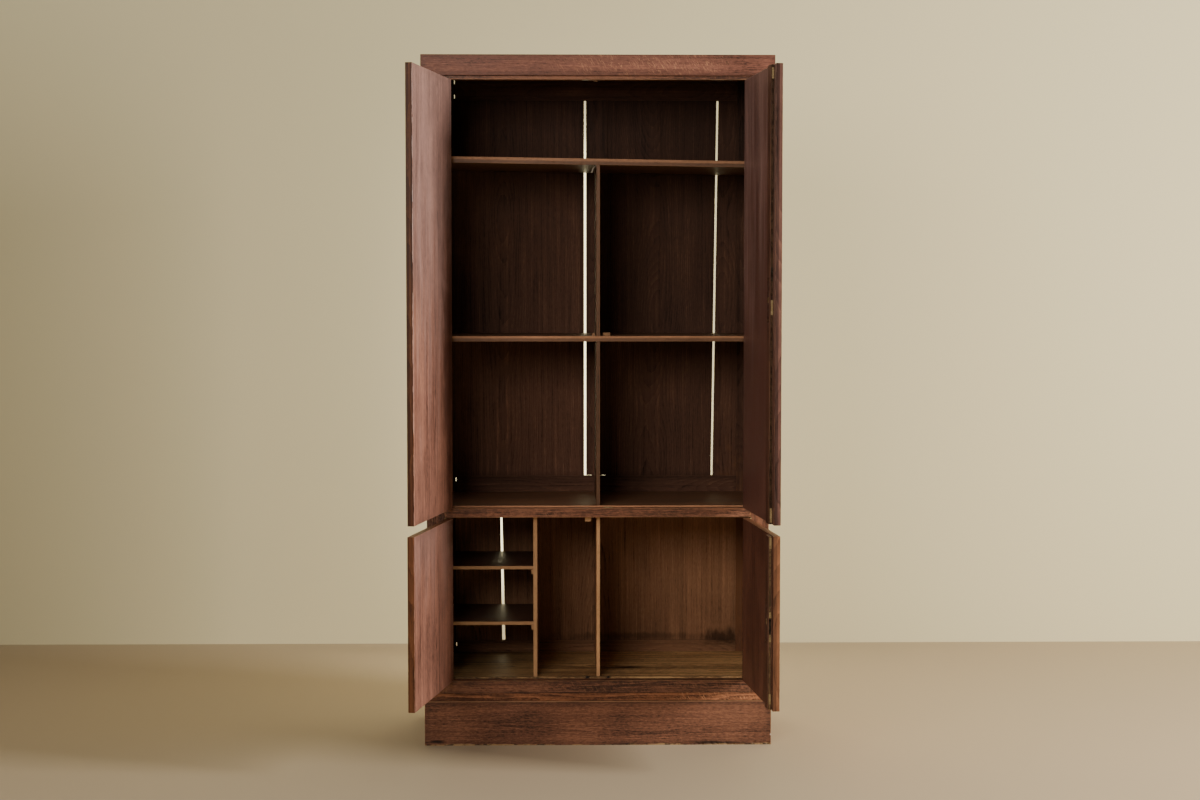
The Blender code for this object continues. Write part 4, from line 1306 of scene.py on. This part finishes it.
class CABINET_OT_doors(bpy.types.Operator):
    """Finishes the doors and the locking strips inside two of them"""

    bl_idname = "cabinet.doors"
    bl_label = "Doors"

    def execute(self, context):
        wood = context.scene.cabinet_wood
        inlay = context.scene.cabinet_inlay
        look = {
            "arch": 0.05, "spacing": 0.004, "rings": 0.3, "streaks": 1.3, "mottle": 1.0, "speckle": 0.9,
            "contrast": 1.35, "wear": 0.5, "dirt": 0.15, "gloss": 0.41,
        }
        # Painted sheen over the doors' upper parts, partly a haze in the finish. On the upper right door it also
        # paints light that grows towards the top.
        haze_and_sheen = wood.bloom_and_sheen
        # Each door face takes its own lit or shaded copy of the oak: painted light on the left doors, painted
        # shade on the right ones.
        faces = {
            "door_upper_left": (wood.left_doors_lit, {"haze_and_sheen": haze_and_sheen}),
            "door_lower_left": (wood.left_doors_lit, {
                "haze_and_sheen": blend(wood.left_doors_lit, haze_and_sheen, 0.6), "sheen_span": (0.45, 1.15),
            }),
            "door_upper_right": (wood.upper_right, {
                "haze_and_sheen": shade(haze_and_sheen, 1.2), "sheen_span": (0.35, 0.95), "contrast": 0.55,
            }),
            "door_lower_right": (wood.lower_right, {}),
        }
        ground = oak(
            "ground_veneer", blend(wood.outside, inlay.dark, 0.25), arch=0.14, rings=0.8,
            spacing=0.007, wear=0.5, gloss=0.33,
        )
        seed = 70
        for door in DOORS:
            seed += 1
            colour, own = faces[door]
            face = oak(f"{door}_face", colour, marks=MARKS.get(door, ()), **{**look, **own})
            colour, layers = DOOR_EDGES[door]
            edge = oak(
                f"{door}_edge", colour, wear=0.12, dirt=0.0, layers=layers, relief=0.00004,
                shine=0.2,
            )
            dress(door, [face, ground, edge], seed, wood.wear, door_faces)
        strip = oak("strip_oak", wood.strips, **look)
        for node in LOCK_STRIPS:
            seed += 1
            dress(node, [strip], seed, wood.inner_wear, rounding=STRIP_ROUNDING)
        return {"FINISHED"}


class CABINET_OT_marquetry(bpy.types.Operator):
    """Lays banding, stringing and diamonds on the doors' outer faces and the cabinet's sides"""

    bl_idname = "cabinet.marquetry"
    bl_label = "Marquetry"

    def execute(self, context):
        inlay = context.scene.cabinet_inlay
        material = veneer("marquetry_veneer", inlay)
        net = tile_net()
        for door in DOORS:
            low, high = door_box(door)
            size = (high.x - low.x, high.z - low.z)
            body = body_of(door)
            lay_panel(net, f"{door}_inlay", body, "door_oak", low, RIGHT, FRONT, size, inlay, material)
        levels = [(level, *door_box(f"door_{level}_left")) for level in ("lower", "upper")]
        for side, across, outward in (("left", FRONT, LEFT), ("right", REAR, RIGHT)):
            low, high = door_box(f"side_{side}")
            x = low.x if side == "left" else high.x
            y = high.y if side == "left" else low.y
            for level, start, end in levels:
                corner = Vector((x, y, start.z))
                name = f"side_{side}_{level}_inlay"
                size = (high.y - low.y, end.z - start.z)
                lay_panel(net, name, "case", "outside_oak", corner, across, outward, size, inlay, material)
        return {"FINISHED"}


# The locks' heights, and the lowest and highest ends of the brass and of the painted shade of the recesses on the
# strips' edges
LOCKS = {
    "upper": {
        "body": "upper_right_door", "height": 1.3001, "recess": (1.351, 1.388),
        "brasses": [(1.889, 1.918), (0.702, 0.740), (1.260, 1.300)],
    },
    "lower": {
        "body": "lower_right_door", "height": 0.4304, "recess": (0.400, 0.438),
        "brasses": [(0.631, 0.661), (0.207, 0.235), (0.442, 0.458), (0.377, 0.396)],
    },
}

# The strips' leading edges along X and their inner faces along Y, and where the locks' parts lie on
# them. A rise is how far a part stands out, or how far its screws are above and below the lock.
STRIP_FRONT = 0.0203
STRIP_INNER = 0.0298
BRASS_Y = (0.0212, 0.0268)
BRASS_RISE = 0.0006
RECESS_Y = (0.0214, 0.0268)
RECESS_RISE = 0.0004
PIN_INSET = 0.004
CASE_SCREWS_X = (0.0290, 0.0530)
CASE_SCREWS_RISE = 0.054
KEYHOLE_X = 0.0409
OUTER_PLATE = 0.0007
OUTER_PINS_RISE = 0.0125
INNER_PLATE = 0.0004
KEYHOLE_RISE = 0.00008
KEEP_SCREWS = ((0.0195, 0.0268, 0.6950), (0.0408, 0.0268, 0.6950))

# A continuous hinge's screws: the distance between them, from the door's ends, and from its front, and
# how deep its leaf and the gap beside the door are
SCREW_SPACING = 0.115
SCREW_END = 0.03
SCREW_Y = 0.0085
LEAF = 0.001
HINGE_GAP = 0.003
SUNK_RISE = 0.00015


def oval(width, height, count=28):
    angles = [2 * math.pi * index / count for index in range(count)]
    return [(math.cos(angle) * width / 2, math.sin(angle) * height / 2) for angle in angles]


def keyhole(scale):
    """The outline of a keyhole: a round head over a flared foot."""
    head = [math.radians(angle) for angle in range(-50, 231, 20)]
    outline = [(math.cos(angle) * 0.30 * scale, (0.25 + math.sin(angle) * 0.30) * scale) for angle in head]
    return outline + [(-0.22 * scale, -0.62 * scale), (0.22 * scale, -0.62 * scale)]


def old_brass():
    """The tarnished brass of the hinges and screws, which is made once."""
    brass = bpy.context.scene.cabinet_metal.brass
    made = bpy.data.materials.get("old_brass")
    return made or metal("old_brass", brass, (0.060, 0.045, 0.020), amount=0.75)


def coat_metal(finishes):
    """Gives each CAD node whose name starts with a key the material of that key."""
    for node, piece in frame["nodes"].items():
        for start, material in finishes.items():
            if node.startswith(start):
                piece.data.materials.clear()
                piece.data.materials.append(material)


def fit_lock(net, level, lock, brass, bright, iron):
    """One lock's guides, painted-shade recess and plates, in shut places on its door, then its screws and pins."""
    body, height = lock["body"], lock["height"]
    plates = Fittings(f"lock_brass_{level}", body, "brass", bright)
    dark = Fittings(f"lock_hole_shade_{level}", body, "iron", iron)
    pins = []
    for foot, head in lock["brasses"]:
        front = STRIP_FRONT - BRASS_RISE
        plates.block((front, BRASS_Y[0], foot), (STRIP_FRONT, BRASS_Y[1], head), 0.00015)
        for place in (foot + PIN_INSET, head - PIN_INSET):
            pins.append((Vector((front, sum(BRASS_Y) / 2, place)), LEFT))
    # Painted shade: a thin dark block stands for the recess in the strip's edge.
    foot, head = lock["recess"]
    front = STRIP_FRONT - RECESS_RISE
    dark.block((front, RECESS_Y[0], foot), (STRIP_FRONT, RECESS_Y[1], head), 0.0001)
    outer = Vector((KEYHOLE_X, 0.0, height))
    inner = Vector((KEYHOLE_X, STRIP_INNER, height))
    plates.plate(outer, FRONT, oval(0.017, 0.030), OUTER_PLATE)
    plates.plate(inner, REAR, oval(0.010, 0.016), INNER_PLATE)
    outer += FRONT * OUTER_PLATE
    inner += REAR * INNER_PLATE
    # Painted shade: thin dark keyhole shapes stand for the holes.
    dark.plate(outer, FRONT, keyhole(0.011), KEYHOLE_RISE, 0.00002)
    dark.plate(inner, REAR, keyhole(0.008), KEYHOLE_RISE, 0.00002)
    plates.finish()
    dark.finish()
    screws = []
    for x in CASE_SCREWS_X:
        for rise in (-CASE_SCREWS_RISE, CASE_SCREWS_RISE):
            screws.append((Vector((x, STRIP_INNER, height + rise)), REAR))
    for rise in (-OUTER_PINS_RISE, OUTER_PINS_RISE):
        pins.append((outer + UP * rise, FRONT))
    metals = bpy.context.scene.cabinet_metal
    rise = metals.screw_rise
    set_screws(net, f"lock_screws_{level}", body, "brass", screws, metals.screw, rise, brass, 3)
    set_screws(net, f"lock_pins_{level}", body, "brass", pins, metals.pin, rise, brass, 5)


class CABINET_OT_locks(bpy.types.Operator):
    """Fits the rods' guides, the lock plates, the keyhole plates and their screws"""

    bl_idname = "cabinet.locks"
    bl_label = "Locks"

    def execute(self, context):
        metals = context.scene.cabinet_metal
        brass = old_brass()
        # This dark metal is the painted shade of the recesses and keyholes.
        iron = metal("hole_shade_iron", metals.iron, (0.020, 0.013, 0.008), 0.5, 0.85)
        bright = metal("rubbed_brass", shade(metals.brass, 1.45), (0.330, 0.235, 0.125), 0.42, 0.6, 0.7)
        coat_metal({
            "rod_upper_": metal("dull_brass", metals.upper_rods, (0.062, 0.038, 0.026), 0.5, 0.8),
            "rod_lower_": metal("rod_brass", metals.lower_rods, (0.120, 0.075, 0.045), 0.5, 0.7, 0.8),
            "lock_case_": metal("lacquered_iron", metals.cases, (0.060, 0.028, 0.020), 0.5, 0.8, 0.0),
            "hinge_": brass,
            "keep_": bright,
        })
        net = screw_net()
        for level, lock in LOCKS.items():
            fit_lock(net, level, lock, brass, bright, iron)
        keep = [(Vector(place), UP) for place in KEEP_SCREWS]
        set_screws(net, "keep_screws", "case", "brass", keep, metals.screw * 0.8, 0.0001, brass, 9)
        return {"FINISHED"}


class CABINET_OT_hinges(bpy.types.Operator):
    """Sets the screws of the four continuous hinges"""

    bl_idname = "cabinet.hinges"
    bl_label = "Hinge screws"

    def execute(self, context):
        radius = context.scene.cabinet_metal.screw
        brass = old_brass()
        net = screw_net()
        for door in DOORS:
            low, high = door_box(door)
            left = door.endswith("left")
            outward = LEFT if left else RIGHT
            edge = low.x if left else high.x
            run = high.z - low.z - 2 * SCREW_END
            count = max(2, round(run / SCREW_SPACING) + 1)
            heights = [low.z + SCREW_END + run * index / (count - 1) for index in range(count)]
            on_door = edge + outward.x * LEAF
            on_post = edge + outward.x * (HINGE_GAP - LEAF)
            for part, body, x, facing, seed in (
                ("door", body_of(door), on_door, outward, 11), ("post", "case", on_post, -outward, 13),
            ):
                places = [(Vector((x, SCREW_Y, height)), facing) for height in heights]
                name = f"{door.replace('door', 'hinge')}_{part}_screws"
                set_screws(net, name, body, "brass", places, radius, SUNK_RISE, brass, seed)
        return {"FINISHED"}


# The small things: the lowest and highest corner of each block, and the way of the hook's wire
LOOSE_BLOCK = ((0.0150, 0.0380, 1.1934), (0.0355, 0.0520, 1.2030))
LOOSE_WEDGE = ((-0.0172, 0.0370, 1.1934), (-0.0085, 0.0520, 1.2032))
RAIL_BLOCK = ((-0.0124, 0.0205, 1.9268), (-0.0009, 0.0305, 1.9299))
HOOK_PLATE = ((-0.0050, 0.0440, 1.6868), (-0.0005, 0.0520, 1.6880))
HOOK_WAY = (
    (-0.0030, 0.0480, 1.6872), (-0.0060, 0.0470, 1.6860), (-0.0100, 0.0450, 1.6830),
    (-0.0135, 0.0430, 1.6780), (-0.0158, 0.0415, 1.6720), (-0.0172, 0.0410, 1.6665),
)
HOOK_RADIUS = 0.0017


class CABINET_OT_small(bpy.types.Operator):
    """Adds the hook, the loose blocks and the small block below the top rail"""

    bl_idname = "cabinet.small"
    bl_label = "Small things"

    def execute(self, context):
        wood = context.scene.cabinet_wood
        metals = context.scene.cabinet_metal
        block_oak = oak_block("block_oak", wood.pale)
        blocks = Fittings("small_blocks", "case", "divider_oak", block_oak)
        blocks.block(*LOOSE_BLOCK, 0.0006, Matrix.Rotation(math.radians(7), 4, "Z"))
        blocks.block(*LOOSE_WEDGE, 0.0005, slope=0.0035)
        blocks.block(*RAIL_BLOCK, 0.0005)
        blocks.finish()
        steel = metal("worn_steel", metals.steel, (0.260, 0.220, 0.170), 0.55, 0.7, 0.3)
        hook = Fittings("shelf_hook", "case", "iron", steel)
        hook.tube(HOOK_WAY, HOOK_RADIUS)
        hook.block(*HOOK_PLATE)
        hook.finish()
        return {"FINISHED"}


def oak_block(name, colour):
    """Plain oak for the small loose blocks, with streaks along X."""
    f = Finish(name)
    place = f.object_place()
    streak = f.noise(place, (40.0, 420.0, 420.0), 4.0, 0.6, 0.2)
    cloud = f.noise(place, (90.0, 90.0, 90.0), 4.0, 0.6)
    level = f.about_half([(streak, 0.9), (cloud, 0.9)])
    wood = f.mix(level, shade(colour, 0.25), shade(colour, 0.9))
    return f.finish(wood, f.plus(0.45, f.times(cloud, 0.2)), f.bump(streak, 0.0002))


def area_light(name, place, target, size, power, colour=(1, 1, 1)):
    data = bpy.data.lights.new(name, "AREA")
    data.shape = "RECTANGLE"
    data.size, data.size_y = size
    data.energy = power
    data.color = colour
    lamp = link(name, data)
    lamp.location = place
    lamp.rotation_euler = (Vector(target) - Vector(place)).to_track_quat("-Z", "Y").to_euler()
    return lamp


def backdrop(name, corners, colour):
    """A plain sheet that shows only from its front, so a view from behind it is open."""
    mesh = bpy.data.meshes.new(name)
    mesh.from_pydata(corners, [], [(0, 1, 2, 3)])
    f = Finish(name)
    drift = f.noise(f.object_place(), (0.5, 0.5, 0.5), 2.0)
    material = f.finish(f.mix(drift, shade(colour, 0.96), shade(colour, 1.04)), 0.8)
    behind = f.node("ShaderNodeNewGeometry", {}).outputs["Backfacing"]
    clear = f.node("ShaderNodeBsdfTransparent", {}).outputs["BSDF"]
    either = f.node("ShaderNodeMixShader", {0: behind, 1: f.shader.outputs["BSDF"], 2: clear})
    f.feed(f.tree.nodes["Material Output"].inputs["Surface"], either.outputs["Shader"])
    mesh.materials.append(material)
    link(name, mesh)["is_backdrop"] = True


WALL_REACH = 6.0
WALL_HEIGHT = 5.0
FLOOR_REACH = 8.0
WARM = (1.0, 0.97, 0.92)
WARMER = (1.0, 0.94, 0.86)


def rectangle(start, end):
    """The corners of a sheet as wide as the wall, anticlockwise from the lower left one."""
    return [(-WALL_REACH, start), (WALL_REACH, start), (WALL_REACH, end), (-WALL_REACH, end)]


class CABINET_OT_stage(bpy.types.Operator):
    """Sets the camera, the soft light, the plain floor and the plain backdrop"""

    bl_idname = "cabinet.stage"
    bl_label = "Stage"

    def execute(self, context):
        stage = context.scene.cabinet_stage
        data = bpy.data.cameras.new("camera")
        data.lens = stage.lens
        camera = link("camera", data)
        camera.location = stage.eye
        camera.rotation_euler = (math.radians(90) - stage.pitch, 0, -stage.yaw)
        context.scene.camera = camera
        floor = [(x, y, 0) for x, y in rectangle(-FLOOR_REACH, FLOOR_REACH)]
        wall = [(x, stage.wall, z) for x, z in rectangle(0, WALL_HEIGHT)]
        backdrop("floor", floor, stage.floor_colour)
        backdrop("wall", wall, stage.wall_colour)
        area_light("window_light", (5.0, -1.8, 2.0), (0, -0.2, 1.0), (1.25, 1.7), stage.window, WARM)
        area_light("fill_light", (-1.6, -4.6, 2.4), (0, 0, 1), (2.2, 1.6), stage.fill, WARMER)
        area_light("ceiling_light", (0.3, -0.6, 4.3), (0.1, 0.6, 0), (4.5, 3.0), stage.ceiling, WARM)
        spot = Vector((-0.04, stage.wall, 1.05))
        glow = area_light("wall_light", spot + FRONT * 0.1, spot, (0.80, 1.65), stage.behind)
        glow.visible_camera = False
        world = bpy.data.worlds.new("room")
        world.use_nodes = True
        light = world.node_tree.nodes["Background"].inputs
        light["Color"].default_value = (1.0, 0.95, 0.87, 1)
        light["Strength"].default_value = stage.room
        context.scene.world = world
        return {"FINISHED"}


class CABINET_PT_panel(bpy.types.Panel):
    """Lists the cabinet's settings and steps"""

    bl_idname = "CABINET_PT_panel"
    bl_label = "Marquetry Cabinet"
    bl_space_type = "VIEW_3D"
    bl_region_type = "UI"
    bl_category = "Cabinet"

    def draw(self, context):
        for group in GROUPS:
            box = self.layout.box()
            settings = getattr(context.scene, group)
            for name in settings.bl_rna.properties.keys():
                if name not in {"rna_type", "name"}:
                    box.prop(settings, name)
        for step in STEPS:
            self.layout.operator(step.bl_idname)


STEPS = (
    CABINET_OT_outside, CABINET_OT_inside, CABINET_OT_doors, CABINET_OT_marquetry,
    CABINET_OT_locks, CABINET_OT_hinges, CABINET_OT_small, CABINET_OT_stage,
)
GROUPS = {
    "cabinet_wood": CabinetWood, "cabinet_inlay": CabinetInlay,
    "cabinet_metal": CabinetMetal, "cabinet_stage": CabinetStage,
}
CLASSES = (*GROUPS.values(), *STEPS, CABINET_PT_panel)


def register():
    for item in CLASSES:
        bpy.utils.register_class(item)
    for name, group in GROUPS.items():
        setattr(bpy.types.Scene, name, PointerProperty(type=group))


def unregister():
    for name in GROUPS:
        delattr(bpy.types.Scene, name)
    for item in reversed(CLASSES):
        bpy.utils.unregister_class(item)


def main():
    register()
    for step in ("outside", "inside", "doors", "marquetry", "locks", "hinges", "small", "stage"):
        getattr(bpy.ops.cabinet, step)()
    boxes = {"cad": CAD_BOX, "visual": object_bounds()}
    plain = {name: [list(corner) for corner in box] for name, box in boxes.items()}


if __name__ == "__main__":
    main()
